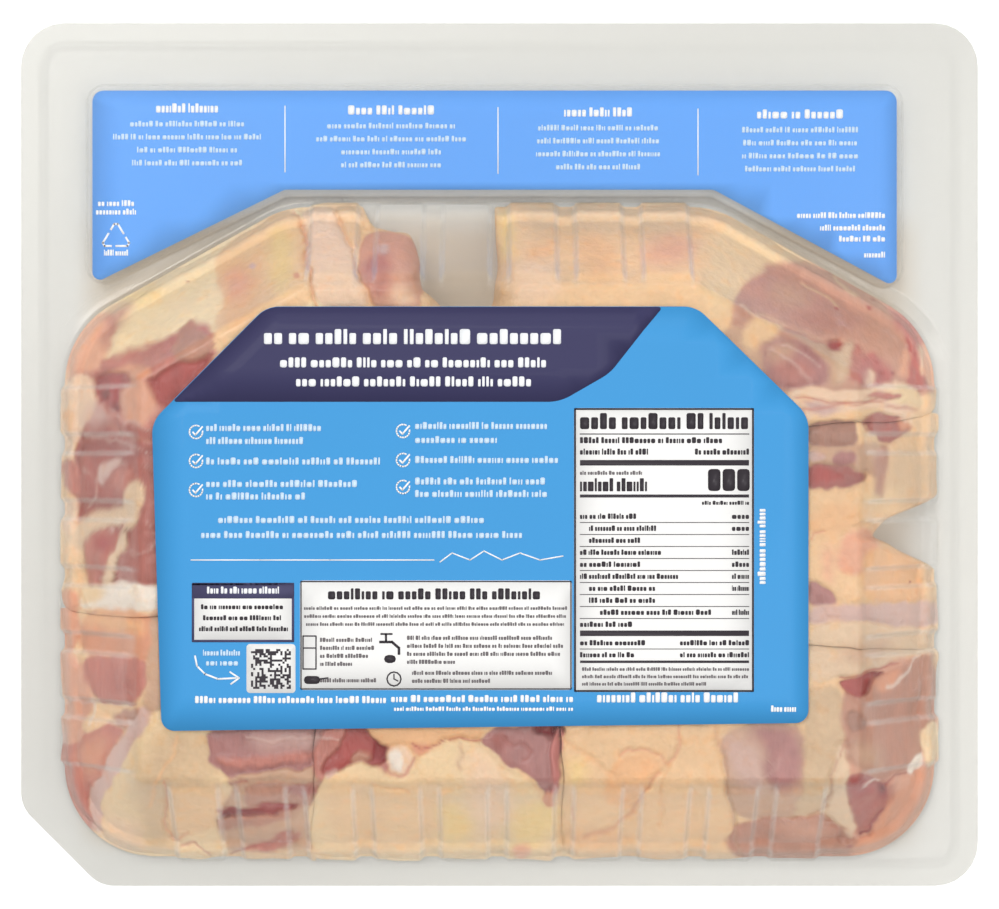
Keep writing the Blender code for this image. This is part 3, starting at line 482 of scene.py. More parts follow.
# Narrow folds and lines: tissue, width in plan units, depth in mm, and the places it runs through
FOLDS = (
    ("orange", 1.6, 1.1, (295, 206, 302, 230, 308, 262, 313, 288, 319, 308)),
    ("amber", 1.4, 0.7, (337, 205, 339, 222, 347, 242, 353, 262, 361, 284, 371, 308)),
    ("orange", 1.6, 0.9, (622, 755, 632, 750, 645, 751, 657, 757, 665, 767, 672, 758, 678, 745, 677, 722)),
    ("amber", 1.6, 0.8, (665, 767, 662, 790, 661, 826)),
    ("orange", 1.8, 1.0, (658, 774, 648, 788, 640, 800, 628, 815, 618, 829, 605, 835, 584, 838)),
    ("amber", 1.6, 0.6, (562, 738, 580, 752, 600, 764, 618, 780)),
    ("tan", 1.6, 0.7, (717, 726, 721, 750, 725, 776, 729, 800, 734, 826, 744, 856)),
    ("clay", 1.4, 0.8, (846, 742, 838, 762, 833, 776, 832, 795, 826, 805, 819, 811, 808, 817)),
    ("clay", 1.4, 0.8, (819, 811, 830, 818, 840, 828, 843, 838)),
    ("orange", 1.4, 0.8, (164, 782, 163, 800, 164, 820, 169, 832, 176, 838, 184, 831)),
    ("rose", 1.3, 0.7, (178, 845, 190, 845, 200, 850, 207, 857)),
    ("amber", 2.0, 0.5, (178, 734, 168, 760, 154, 786, 146, 806)),
    ("red", 1.3, 0.6, (216, 811, 228, 812, 240, 814, 268, 804)),
    ("red", 1.3, 0.6, (228, 853, 250, 846, 270, 838, 292, 831)),
    ("red", 1.5, 0.8, (228, 786, 236, 785, 246, 785)),
    ("rose", 1.4, 0.5, (796, 398, 830, 400, 846, 402, 858, 405, 868, 401, 880, 399)),
    ("red", 1.2, 0.7, (838, 681, 856, 677, 874, 671, 894, 664)),
    ("bone", 1.8, -0.5, (886, 687, 898, 679, 907, 668, 914, 660, 922, 654)),
    ("deep", 1.0, 0.6, (880, 811, 874, 820, 868, 828, 861, 835)),
    ("deep", 1.0, 0.5, (884, 792, 890, 782, 896, 775, 906, 771)),
    ("bone", 1.2, -0.3, (866, 787, 874, 783, 882, 781)),
    ("peach", 2.4, -0.3, (740, 306, 752, 312, 768, 318, 782, 326)),
    # These two raised lines are painted pale as the white sheen on the mauve lobe
    ("lilac", 1.6, -0.3, (772, 352, 788, 360, 804, 376, 812, 386)),
    ("lilac", 1.4, -0.3, (784, 346, 804, 356, 820, 368)),
    ("rose", 1.5, 0.4, (764, 316, 790, 330, 818, 340, 838, 342)),
    ("rose", 1.6, 0.5, (802, 412, 830, 404, 864, 400, 892, 404, 918, 412)),
    ("lilac", 1.6, -0.3, (88, 432, 108, 440, 132, 444, 148, 452)),
    ("lilac", 1.3, -0.3, (84, 470, 96, 478, 98, 496, 88, 510)),
    ("lilac", 1.5, -0.3, (244, 736, 272, 742, 312, 736, 338, 740)),
    ("cream", 1.6, -0.3, (804, 281, 818, 290, 830, 300, 838, 309)),
    ("cream", 1.8, -0.3, (835, 275, 845, 289, 856, 297)),
    ("red", 1.2, 0.6, (906, 338, 912, 350, 914, 352)),
    ("lilac", 1.4, -0.3, (108, 406, 114, 412, 122, 418, 138, 424)),
    ("lilac", 1.4, -0.3, (126, 420, 138, 427, 150, 430)),
    ("clay", 1.6, 0.5, (110, 425, 130, 437, 150, 440)),
    ("lilac", 1.4, -0.3, (60, 702, 78, 700, 96, 704)),
    ("bone", 1.6, -0.3, (91, 700, 92, 712, 88, 726)),
    ("red", 1.2, 0.6, (100, 703, 116, 704, 134, 702)),
    ("clay", 1.3, 0.5, (96, 612, 92, 616, 84, 610)),
    ("amber", 1.4, 0.5, (846, 520, 860, 525, 872, 527, 878, 534)),
    ("orange", 1.3, 0.4, (812, 542, 816, 536, 824, 534)),
    ("red", 1.4, 0.6, (414, 744, 422, 748, 440, 742, 456, 738, 478, 739)),
    ("dusk", 1.4, 0.6, (504, 738, 512, 748, 524, 744, 530, 752, 522, 760)),
    ("rose", 1.4, 0.5, (386, 770, 398, 778, 410, 772, 418, 758)),
    ("amber", 1.4, 0.4, (692, 738, 698, 750, 704, 756)),
    ("tan", 1.6, 0.5, (722, 782, 736, 788)),
    ("orange", 1.2, 0.4, (574, 812, 578, 820)),
    ("amber", 1.6, 0.6, (374, 784, 388, 790, 410, 795)),
    ("tan", 1.6, 0.5, (458, 744, 462, 752, 460, 768)),
)

# Specks of blood and small marks: tissue, place and radius in plan units
SPECKS = (
    ("orange", 296, 275, 3.4), ("red", 837, 309, 1.8), ("red", 869, 308, 2.6), ("deep", 873, 300, 1.5),
    ("deep", 893, 372, 1.6), ("deep", 911, 582, 1.1), ("orange", 551, 800, 3.6), ("deep", 884, 790, 3.2),
    ("flesh", 850, 846, 2.6), ("lilac", 252, 266, 3.6), ("deep", 862, 834, 1.5), ("lilac", 111, 530, 2.2),
    ("red", 876, 362, 1.8), ("deep", 116, 408, 2.2), ("clay", 188, 281, 1.6), ("deep", 378, 748, 3.0),
)


def linear(colour):
    """Light shares of a colour given from 0 to 255: the sRGB curve undone."""
    share = np.asarray(colour, float)[..., :3] / 255
    return np.where(share <= 0.04045, share / 12.92, ((share + 0.055) / 1.055) ** 2.4)


def ease(low, high, value):
    """0 below low, 1 above high and 3t^2 - 2t^3 between, where t is the share of the way."""
    t = np.clip((value - low) / (high - low), 0, 1)
    return t * t * (3 - 2 * t)


def under_sheet(colour, inside, muscle):
    """A tissue's own colour, from how it looks through the clear sheet, whose walls are whiter, with a
    painted haze of the sheet paling the rim of the meat.
    """
    flat = ease(*FLAT_FROM, inside)[:, None]
    edge = ease(*THIN_VEIL, inside)[:, None]
    # Painted haze: the rim of the meat is paled towards the grey haze of the clear sheet
    colour = colour + (np.array(PAINTED_RIM_HAZE) - colour) * PAINTED_RIM_HAZE_SHARE * ease(*PAINTED_HAZE_REACH, inside)[:, None]
    dimming = SHEET_DIMMING[0] + (SHEET_DIMMING[1] - SHEET_DIMMING[0]) * flat
    veil = SHEET_VEIL[0] + (SHEET_VEIL[1] - SHEET_VEIL[0]) * np.maximum(flat, edge)
    veil = veil + np.array(WALL_MUSCLE_VEIL) * (muscle * (1 - flat[:, 0]))[:, None]
    return np.clip((colour - veil) / dimming, *TISSUE_RANGE)


def softened(outline, rounds=2):
    """An outline whose corners are cut at a quarter and three quarters of each side, over and over."""
    for _ in range(rounds):
        after = np.roll(outline, -1, 0)
        cuts = np.stack([outline * 0.75 + after * 0.25, outline * 0.25 + after * 0.75], 1)
        outline = cuts.reshape(-1, 2)
    return outline


def lattice(x, y, seed):
    """Smooth noise from -1 to 1: seeded numbers on a unit lattice, eased with 6t^5 - 15t^4 + 10t^3."""
    table = np.random.default_rng(seed).random((64, 64)) * 2 - 1
    column, row = np.floor(x).astype(int), np.floor(y).astype(int)
    u, v = x - column, y - row
    u, v = (t * t * t * (t * (t * 6 - 15) + 10) for t in (u, v))
    near = table[column % 64, row % 64] * (1 - u) + table[(column + 1) % 64, row % 64] * u
    far = table[column % 64, (row + 1) % 64] * (1 - u) + table[(column + 1) % 64, (row + 1) % 64] * u
    return near * (1 - v) + far * v


def fractal(x, y, size, octaves, seed):
    """A sum of noises, each half as large and half as strong as the one before, and turned."""
    total, weight, most = 0.0, 1.0, 0.0
    for k in range(octaves):
        c, s = math.cos(0.6 + 1.3 * k), math.sin(0.6 + 1.3 * k)
        across, along = (x * c - y * s) / size + 7.3 * k, (x * s + y * c) / size + 3.1 * k
        total = total + weight * lattice(across, along, seed + k)
        most += weight
        weight, size = weight * 0.5, size * 0.5
    return total / most


def plan_places(x, y, z):
    """Where points in mm lie in plan units, as the straight-down view sees them."""
    scale = VIEW_HEIGHT / (VIEW_HEIGHT + FLANGE_TOP - z) / UNIT
    return PLAN_MIDDLE[0] + x * scale, PLAN_MIDDLE[1] - y * scale


def from_plan(places, z):
    """Points in mm, at height z, that the straight-down view sees at these plan places."""
    scale = UNIT * (VIEW_HEIGHT + FLANGE_TOP - z) / VIEW_HEIGHT
    places = np.asarray(places, float).reshape(-1, 2)
    return np.stack([(places[:, 0] - PLAN_MIDDLE[0]) * scale, (PLAN_MIDDLE[1] - places[:, 1]) * scale], 1)


def cross(a, b):
    """The upright part of the cross product of flat vectors."""
    return a[..., 0] * b[..., 1] - a[..., 1] * b[..., 0]


def rounded_outline(corners, radii, arc_step, stations=None):
    """Points and outward normals round an anticlockwise outline.

    Each corner is an arc of its radius, tangent to both sides, so it starts radius times
    tan(turn / 2) before the corner. stations gives the places along a straight side, from its
    start point, its end point and its normal; without it the sides are cut every 3 mm.
    """
    corners = np.asarray(corners, float)
    arcs = []
    for i, corner in enumerate(corners):
        into = corner - corners[i - 1]
        out = corners[(i + 1) % len(corners)] - corner
        into, out = into / np.hypot(*into), out / np.hypot(*out)
        turn = math.atan2(cross(into, out), into @ out)
        side = math.copysign(1, turn)
        normal = np.array([into[1], -into[0]])
        centre = corner - into * radii[i] * math.tan(abs(turn) / 2) - normal * side * radii[i]
        angles = np.linspace(0, turn, max(3, math.ceil(abs(turn) * radii[i] / arc_step)) + 1)
        c, s = np.cos(angles), np.sin(angles)
        normals = np.stack([normal[0] * c - normal[1] * s, normal[0] * s + normal[1] * c], 1)
        arcs.append((centre + normals * side * radii[i], normals))
    points, directions = [], []
    for i, (arc, normals) in enumerate(arcs):
        start, end = arc[-1], arcs[(i + 1) % len(arcs)][0][0]
        if stations:
            between = stations(start, end, normals[-1])
        else:
            steps = max(1, round(np.hypot(*(end - start)) / 3.0))
            between = start + (end - start) * (np.arange(1, steps) / steps)[:, None]
        points += [arc, between]
        directions += [normals, np.repeat(normals[-1:], len(between), 0)]
    return np.concatenate(points), np.concatenate(directions)


def rib_stations(start, end, normal):
    """Places along a straight wall: five on each flank of a rib and a few between the flanks."""
    if abs(normal[0]) > 0.05 and abs(normal[1]) > 0.05:
        steps = max(1, round(np.hypot(*(end - start)) / 2.5))
        return start + (end - start) * (np.arange(1, steps) / steps)[:, None]
    axis = 0 if abs(normal[1]) > 0.5 else 1
    first, count = RIBS["side" if axis else "top" if normal[1] > 0 else "bottom"]
    flank = RIB_WIDTH / 2 + RIB_FLANK * np.linspace(0, 1, 5)
    offsets = np.concatenate([-flank[::-1], [-3.4, -1.1, 1.1, 3.4], flank, [RIB_PITCH / 2]])
    marks = (first + RIB_PITCH * np.arange(-1, count + 1))[:, None] + offsets
    low, high = sorted((start[axis], end[axis]))
    marks = np.unique(marks.round(4))
    marks = marks[(marks > low + 0.4) & (marks < high - 0.4)]
    if end[axis] < start[axis]:
        marks = marks[::-1]
    places = np.repeat(start[None], len(marks), 0)
    places[:, axis] = marks
    return places


def rib_relief(x, y, normal_x, normal_y):
    """Share of the rib depth, from 0 to 1: eased up and down over each rib's flanks."""
    relief = np.zeros(np.shape(x))
    for name, facing, along in (
        ("top", normal_y > 0.97, x), ("bottom", normal_y < -0.97, x), ("side", np.abs(normal_x) > 0.97, y),
    ):
        first, count = RIBS[name]
        nearest = np.clip(np.round((along - first) / RIB_PITCH), 0, count - 1)
        off = np.abs(along - first - nearest * RIB_PITCH)
        relief = np.where(facing, 1 - ease(RIB_WIDTH / 2, RIB_WIDTH / 2 + RIB_FLANK, off), relief)
    return relief


def filleted(section, reach, steps):
    """A profile whose inner corners are replaced by quadratic curves that start reach before them."""
    section = np.asarray(section, float)
    points = [section[:1]]
    for before, corner, after in zip(section, section[1:], section[2:]):
        low = min(reach, 0.45 * np.hypot(*(corner - before)[:2]))
        high = min(reach, 0.45 * np.hypot(*(after - corner)[:2]))
        start = corner + (before - corner) * low / np.hypot(*(corner - before)[:2])
        end = corner + (after - corner) * high / np.hypot(*(after - corner)[:2])
        t = np.linspace(0, 1, steps)[:, None]
        points.append(start * (1 - t) ** 2 + corner * 2 * t * (1 - t) + end * t * t)
    return np.concatenate(points + [section[-1:]])


def subdivided(section, longest):
    """The same profile with its long stretches cut up."""
    pieces = [section[:1]]
    for a, b in zip(section, section[1:]):
        steps = max(1, math.ceil(np.hypot(*(b - a)[:2]) / longest))
        pieces.append(a + (b - a) * (np.arange(1, steps + 1) / steps)[:, None])
    return np.concatenate(pieces)


def mouth_distance(x, y):
    """How far points lie inside the cavity's mouth, in mm, and the outward direction there.

    The mouth is a smaller polygon grown by its corner radius, so the distance is that radius
    less the signed distance to the smaller polygon.
    """
    corners = np.array(MOUTH_CORNERS)
    edges = np.roll(corners, -1, 0) - corners
    edges = edges / np.hypot(*edges.T)[:, None]
    outward = np.stack([edges[:, 1], -edges[:, 0]], 1)
    before = np.roll(outward, 1, 0)
    core = corners - (outward + before) * MOUTH_RADIUS / (1 + np.sum(outward * before, 1))[:, None]
    inside = np.full(np.shape(x), np.inf)
    outside = np.full(np.shape(x), np.inf)
    normal_x, normal_y = np.zeros(np.shape(x)), np.zeros(np.shape(x))
    far_x, far_y = np.zeros(np.shape(x)), np.zeros(np.shape(x))
    for i, corner in enumerate(core):
        edge = core[(i + 1) % len(core)] - corner
        depth = -((x - corner[0]) * outward[i, 0] + (y - corner[1]) * outward[i, 1])
        nearer = depth < inside
        normal_x = np.where(nearer, outward[i, 0], normal_x)
        normal_y = np.where(nearer, outward[i, 1], normal_y)
        inside = np.minimum(inside, depth)
        share = np.clip(((x - corner[0]) * edge[0] + (y - corner[1]) * edge[1]) / (edge @ edge), 0, 1)
        off_x, off_y = x - corner[0] - edge[0] * share, y - corner[1] - edge[1] * share
        reach = np.hypot(off_x, off_y)
        nearer = reach < outside
        far_x, far_y = np.where(nearer, off_x, far_x), np.where(nearer, off_y, far_y)
        outside = np.minimum(outside, reach)
    outer = inside < 0
    length = np.maximum(outside, 1e-6)
    normal_x = np.where(outer, far_x / length, normal_x)
    normal_y = np.where(outer, far_y / length, normal_y)
    return MOUTH_RADIUS + np.where(outer, -outside, inside), normal_x, normal_y


def ring_faces(rows, count, first=0):
    """Quads between rings of equal length, each ring numbered after the one before."""
    row, spot = np.meshgrid(np.arange(rows - 1), np.arange(count), indexing="ij")
    beside = (spot + 1) % count
    near, far = row * count, (row + 1) * count
    corners = (near + spot, near + beside, far + beside, far + spot)
    return np.stack([c.ravel() for c in corners], 1) + first


def flat_fill(loops, spots):
    """Triangles over the first loop less the other loops, with spots as extra corners inside.

    Corners are numbered loop after loop and then the spots.
    """
    flat = np.concatenate([*loops, spots])
    edges, first = [], 0
    for loop in loops:
        count = len(loop)
        edges += [(first + k, first + (k + 1) % count) for k in range(count)]
        first += count
    inside_edges = 1
    made = delaunay_2d_cdt([Vector(p) for p in flat], edges, [], inside_edges, 1e-7)
    origin = np.array([source[0] for source in made[3]])
    triangles = origin[np.array(made[2])]
    middles = flat[triangles].mean(1)
    for hole in loops[1:]:
        outside = outline_distance(middles, hole) < 0
        triangles, middles = triangles[outside], middles[outside]
    return triangles


def make_mesh(name, points, face_sets, smooth=True):
    """A mesh from points in mm and arrays of faces; each array holds faces of one number of corners."""
    corners = np.concatenate([faces.ravel() for faces in face_sets]).astype(np.int32)
    totals = np.concatenate([np.full(len(faces), faces.shape[1]) for faces in face_sets]).astype(np.int32)
    starts = np.concatenate([[0], np.cumsum(totals)[:-1]]).astype(np.int32)
    mesh = bpy.data.meshes.new(name)
    mesh.vertices.add(len(points))
    mesh.vertices.foreach_set("co", (np.asarray(points) * MM).astype(np.float32).ravel())
    mesh.loops.add(len(corners))
    mesh.loops.foreach_set("vertex_index", corners)
    mesh.polygons.add(len(totals))
    mesh.polygons.foreach_set("loop_start", starts)
    mesh.polygons.foreach_set("loop_total", totals)
    mesh.update(calc_edges=True)
    mesh.validate()
    if smooth:
        mesh.shade_smooth()
    return mesh


def add_attribute(mesh, name, values):
    """Stores one number or one colour for each corner point of a mesh."""
    values = np.asarray(values, np.float32)
    if values.ndim == 1:
        mesh.attributes.new(name, "FLOAT", "POINT").data.foreach_set("value", values)
    else:
        rgba = np.concatenate([values, np.ones((len(values), 1), np.float32)], 1)
        mesh.attributes.new(name, "FLOAT_COLOR", "POINT").data.foreach_set("color", rgba.ravel())


def turn_outwards(mesh, upwards=False):
    """Makes the faces of a mesh agree; on an open sheet the largest share of them then faces up."""
    work = bmesh.new()
    work.from_mesh(mesh)
    bmesh.ops.recalc_face_normals(work, faces=work.faces)
    if upwards and sum(face.normal.z * face.calc_area() for face in work.faces) < 0:
        bmesh.ops.reverse_faces(work, faces=work.faces)
    work.to_mesh(mesh)
    work.free()


def place_piece(name, mesh, material, slot, *nodes):
    """Puts a finished piece into the scene, on the pack's body, in the place of the named solids."""
    piece = bpy.data.objects.new(name, mesh)
    bpy.context.scene.collection.objects.link(piece)
    mesh.materials.append(material)
    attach(piece, "root")
    if nodes:
        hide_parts(*nodes)
    return piece


class Signal:
    """A value or colour in a material; its operators add Math nodes."""

    def __init__(self, sheet, socket):
        self.sheet = sheet
        self.socket = socket

    def maths(self, operation, first, second):
        """Adds a Math node over two values or sockets."""
        return self.sheet.node("Math", {"operation": operation}, {0: first, 1: second})

    def __add__(self, other):
        return self.maths("ADD", self, other)

    __radd__ = __add__

    def __sub__(self, other):
        return self.maths("SUBTRACT", self, other)

    def __rsub__(self, other):
        return self.maths("SUBTRACT", other, self)

    def __mul__(self, other):
        return self.maths("MULTIPLY", self, other)

    __rmul__ = __mul__

    def __pow__(self, power):
        return self.maths("POWER", self, power)

    def between(self, low, high):
        """0 below low, 1 above high, and eased between."""
        settings = {"interpolation_type": "SMOOTHSTEP"}
        return self.sheet.node("MapRange", settings, {"Value": self, "From Min": low, "From Max": high})


class Sheet:
    """The node tree of one material."""

    def __init__(self, name):
        self.material = bpy.data.materials.new(name)
        self.material.use_nodes = True
        self.tree = self.material.node_tree
        self.tree.nodes.clear()

    def feed(self, socket, value):
        """Links a signal to a socket or sets the socket's own value; a colour of three gets alpha 1."""
        if isinstance(value, Signal):
            self.tree.links.new(value.socket, socket)
        elif isinstance(value, tuple) and len(value) == 3 and len(socket.default_value) == 4:
            socket.default_value = (*value, 1)
        else:
            socket.default_value = value

    def node(self, kind, settings=None, inputs=None, output=0):
        """Adds a node of a kind, sets its settings, then feeds its sockets by name or number."""
        made = self.tree.nodes.new("ShaderNode" + kind)
        for key, value in (settings or {}).items():
            setattr(made, key, value)
        for key, value in (inputs or {}).items():
            self.feed(made.inputs[key], value)
        return Signal(self, made.outputs[output])

    def mix(self, share, first, second, blend="MIX"):
        """A mix of two colours."""
        factor, colour_a, colour_b, result = 0, 6, 7, 2
        inputs = {factor: share, colour_a: first, colour_b: second}
        return self.node("Mix", {"data_type": "RGBA", "blend_type": blend}, inputs, result)

    def attribute(self, name, output="Fac"):
        """What the mesh stores under a name."""
        return self.node("Attribute", {"attribute_name": name}, output=output)

    def place(self):
        """The place on the object in millimetres."""
        where = self.node("TexCoord", output="Object")
        return self.node("VectorMath", {"operation": "SCALE"}, {0: where, "Scale": 1 / MM})

    def noise(self, where, size, detail=3.0, stretch=None):
        """Noise from 0 to 1 whose grains are size mm across, longer along an axis by stretch."""
        if stretch:
            where = self.node("VectorMath", {"operation": "MULTIPLY"}, {0: where, 1: stretch})
        inputs = {"Vector": where, "Scale": 1 / size, "Detail": detail, "Roughness": 0.55}
        return self.node("TexNoise", None, inputs)

    def bump(self, height, depth):
        """A Bump node for a height from 0 to 1 over a depth in mm."""
        return self.node("Bump", None, {"Height": height, "Distance": depth * MM, "Strength": 1.0})

    def scaled(self, colour, share):
        """A colour made lighter or darker by a share."""
        return self.node("VectorMath", {"operation": "SCALE"}, {0: colour, "Scale": share})

    def finish(self, shader):
        """Gives the shader to the material and returns the material."""
        made = self.tree.nodes.new("ShaderNodeOutputMaterial")
        self.tree.links.new(shader.socket, made.inputs["Surface"])
        return self.material


def clear_plastic(name, clearness, haze, roughness, tinted=None):
    """Clear sheet: see-through, with a mirror share that rises with (1 - cos)^5, and a little haze.

    One attribute paints shade as grey on the strip beside the card, and another paints glints on the
    flanks of the ribs. Inside the mouth the juice on the sheet may tint it.
    """
    sheet = Sheet(name)
    facing = sheet.node("LayerWeight", None, {"Blend": 0.5}, "Facing")
    edge = sheet.attribute("edge")
    painted_glint = sheet.attribute("painted_glint")
    where = sheet.place()
    # Painted shade greys the strip beside the card and painted glints whiten the rib flanks, both through a
    # larger share of the plastic shader
    share = MIRROR_SHARE + haze + GLANCING_MIRROR * facing ** 5 + STRIP_SHADE_SHARE * edge + PAINTED_GLINT_SHARE * painted_glint
    colour = sheet.mix(edge, tuple(linear(PLASTIC_WHITE)), tuple(linear(STRIP_SHADE_GREY)))
    waves = sheet.bump(sheet.noise(where, 24.0, 1.0), 0.04)
    plastic = sheet.node("BsdfPrincipled", None, {
        "Base Color": colour, "Metallic": 0.4, "Roughness": roughness, "Normal": waves,
    })
    see_through = (*clearness, 1)
    if tinted:
        far_x = sheet.node("SeparateXYZ", None, {0: where}, "X")
        far_y = sheet.node("SeparateXYZ", None, {0: where}, "Y")
        across = sheet.node("Math", {"operation": "ABSOLUTE"}, {0: far_x})
        along = sheet.node("Math", {"operation": "ABSOLUTE"}, {0: far_y + 20.0})
        juice = (1 - across.between(100.0, 114.0)) * (1 - along.between(76.0, 87.0))
        see_through = sheet.mix(juice, clearness, tinted)
    clear = sheet.node("BsdfTransparent", None, {"Color": see_through})
    share = sheet.node("Clamp", None, {"Value": share})
    return sheet.finish(sheet.node("MixShader", None, {0: share, 1: clear, 2: plastic}))


def printed(name, colour, roughness=0.5, coat=0.05):
    """Printed card or film: slightly uneven ink, a fine grain and a soft sheen."""
    sheet = Sheet(name)
    where = sheet.place()
    cloud = sheet.noise(where, 40.0, 2.0)
    grain = sheet.noise(where, 0.35, 2.0)
    ink = sheet.scaled(tuple(linear(colour)), 0.95 + 0.07 * cloud + 0.04 * grain)
    shader = sheet.node("BsdfPrincipled", None, {
        "Base Color": ink,
        "Roughness": roughness + 0.1 * cloud,
        "Specular IOR Level": 0.25,
        "Coat Weight": coat,
        "Normal": sheet.bump(cloud * 0.9 + grain * 0.03, 0.15),
    })
    return sheet.finish(shader)


def raw_chicken():
    """Skin, fat and flesh: the mesh's tissue colour, broken up by fat grains, fibres and wet gloss."""
    sheet = Sheet("raw_chicken")
    where = sheet.place()
    muscle = sheet.attribute("muscle")
    grains = sheet.noise(where, 0.9, 2.0)
    blotches = sheet.noise(where, 4.0, 2.0)
    lobules = sheet.noise(where, 2.2, 0.0)
    fibres = sheet.noise(where, 0.8, 2.0, (0.9, 0.2, 0.5))
    strands = sheet.noise(where, 2.6, 1.0, (0.9, 0.3, 0.5))
    skin_light = 0.86 + 0.16 * grains + 0.14 * blotches - 0.08 * lobules
    flesh_light = 0.53 + 0.26 * fibres + 0.3 * strands + 0.24 * blotches
    light = skin_light * (1 - muscle) + flesh_light * muscle
    tissue = sheet.attribute("tissue", "Color")
    warmed = sheet.mix(1.0, tissue, tuple(linear(WARM_FAT)), "MULTIPLY")
    tissue = sheet.mix((1 - muscle) * blotches.between(0.5, 0.75) * 0.35, tissue, warmed)
    colour = sheet.scaled(tissue, light)
    relief = (grains * 0.5 - lobules * 0.7) * (1 - muscle) + (fibres * 0.7 + strands * 0.6) * muscle
    shader = sheet.node("BsdfPrincipled", None, {
        "Base Color": colour,
        "Roughness": 0.48 - 0.12 * muscle + 0.14 * blotches,
        "Coat Weight": 0.12,
        "Coat Roughness": 0.2,
        "Specular IOR Level": 0.3,
        "Subsurface Weight": 0.15,
        "Subsurface Radius": (1.0, 0.45, 0.3),
        "Subsurface Scale": 1.6 * MM,
        "Normal": sheet.bump(relief + blotches * 0.8, 0.32),
    })
    return sheet.finish(shader)


def panel_wave(x, y):
    """The gentle unevenness, in mm, of the tray's flat underside and of what is stuck on it."""
    return 0.05 * fractal(x, y, 60.0, 1, 5)


def painted_strip_shade(x, y, z):
    """Share of painted grey shade on the strip of flange towards the header card, fading at its far ends.
    """
    inside, _, normal_y = mouth_distance(x, y)
    strip = ease(-4.6, -3.8, inside) * (1 - ease(-0.9, 0.1, inside))
    fading = np.where(x < 0, 0.8, 0.35) * ease(60, 110, np.abs(x))
    return strip * ease(0.2, 0.6, normal_y) * (1 - fading) * (z < 3.0)


def grid_spots(outline, spacing, keep):
    """Places on a square grid inside an outline's box that keep says are free."""
    low, high = outline.min(0), outline.max(0)
    x, y = np.meshgrid(np.arange(low[0], high[0], spacing), np.arange(low[1], high[1], spacing))
    spots = np.stack([x.ravel(), y.ravel()], 1)
    return spots[keep(spots)]


def outline_distance(spots, outline):
    """Signed distance from places to a closed outline, positive inside it."""
    nearest = np.full(len(spots), np.inf)
    crossings = np.zeros(len(spots), int)
    for a, b in zip(outline, np.roll(outline, -1, 0)):
        edge = b - a
        off = spots - a
        share = np.clip(off @ edge / max(edge @ edge, 1e-12), 0, 1)
        nearest = np.minimum(nearest, np.hypot(*(off - share[:, None] * edge).T))
        spans = (a[1] > spots[:, 1]) != (b[1] > spots[:, 1])
        with np.errstate(divide="ignore", invalid="ignore"):
            ahead = a[0] + (spots[:, 1] - a[1]) * edge[0] / edge[1] > spots[:, 0]
        crossings += spans & ahead
    return np.where(crossings % 2 == 1, nearest, -nearest)


def off_strip(spots):
    """How far places lie from the middle of the strip that runs 2.6 mm outside the mouth."""
    return np.abs(mouth_distance(*spots.T)[0] + 2.6)


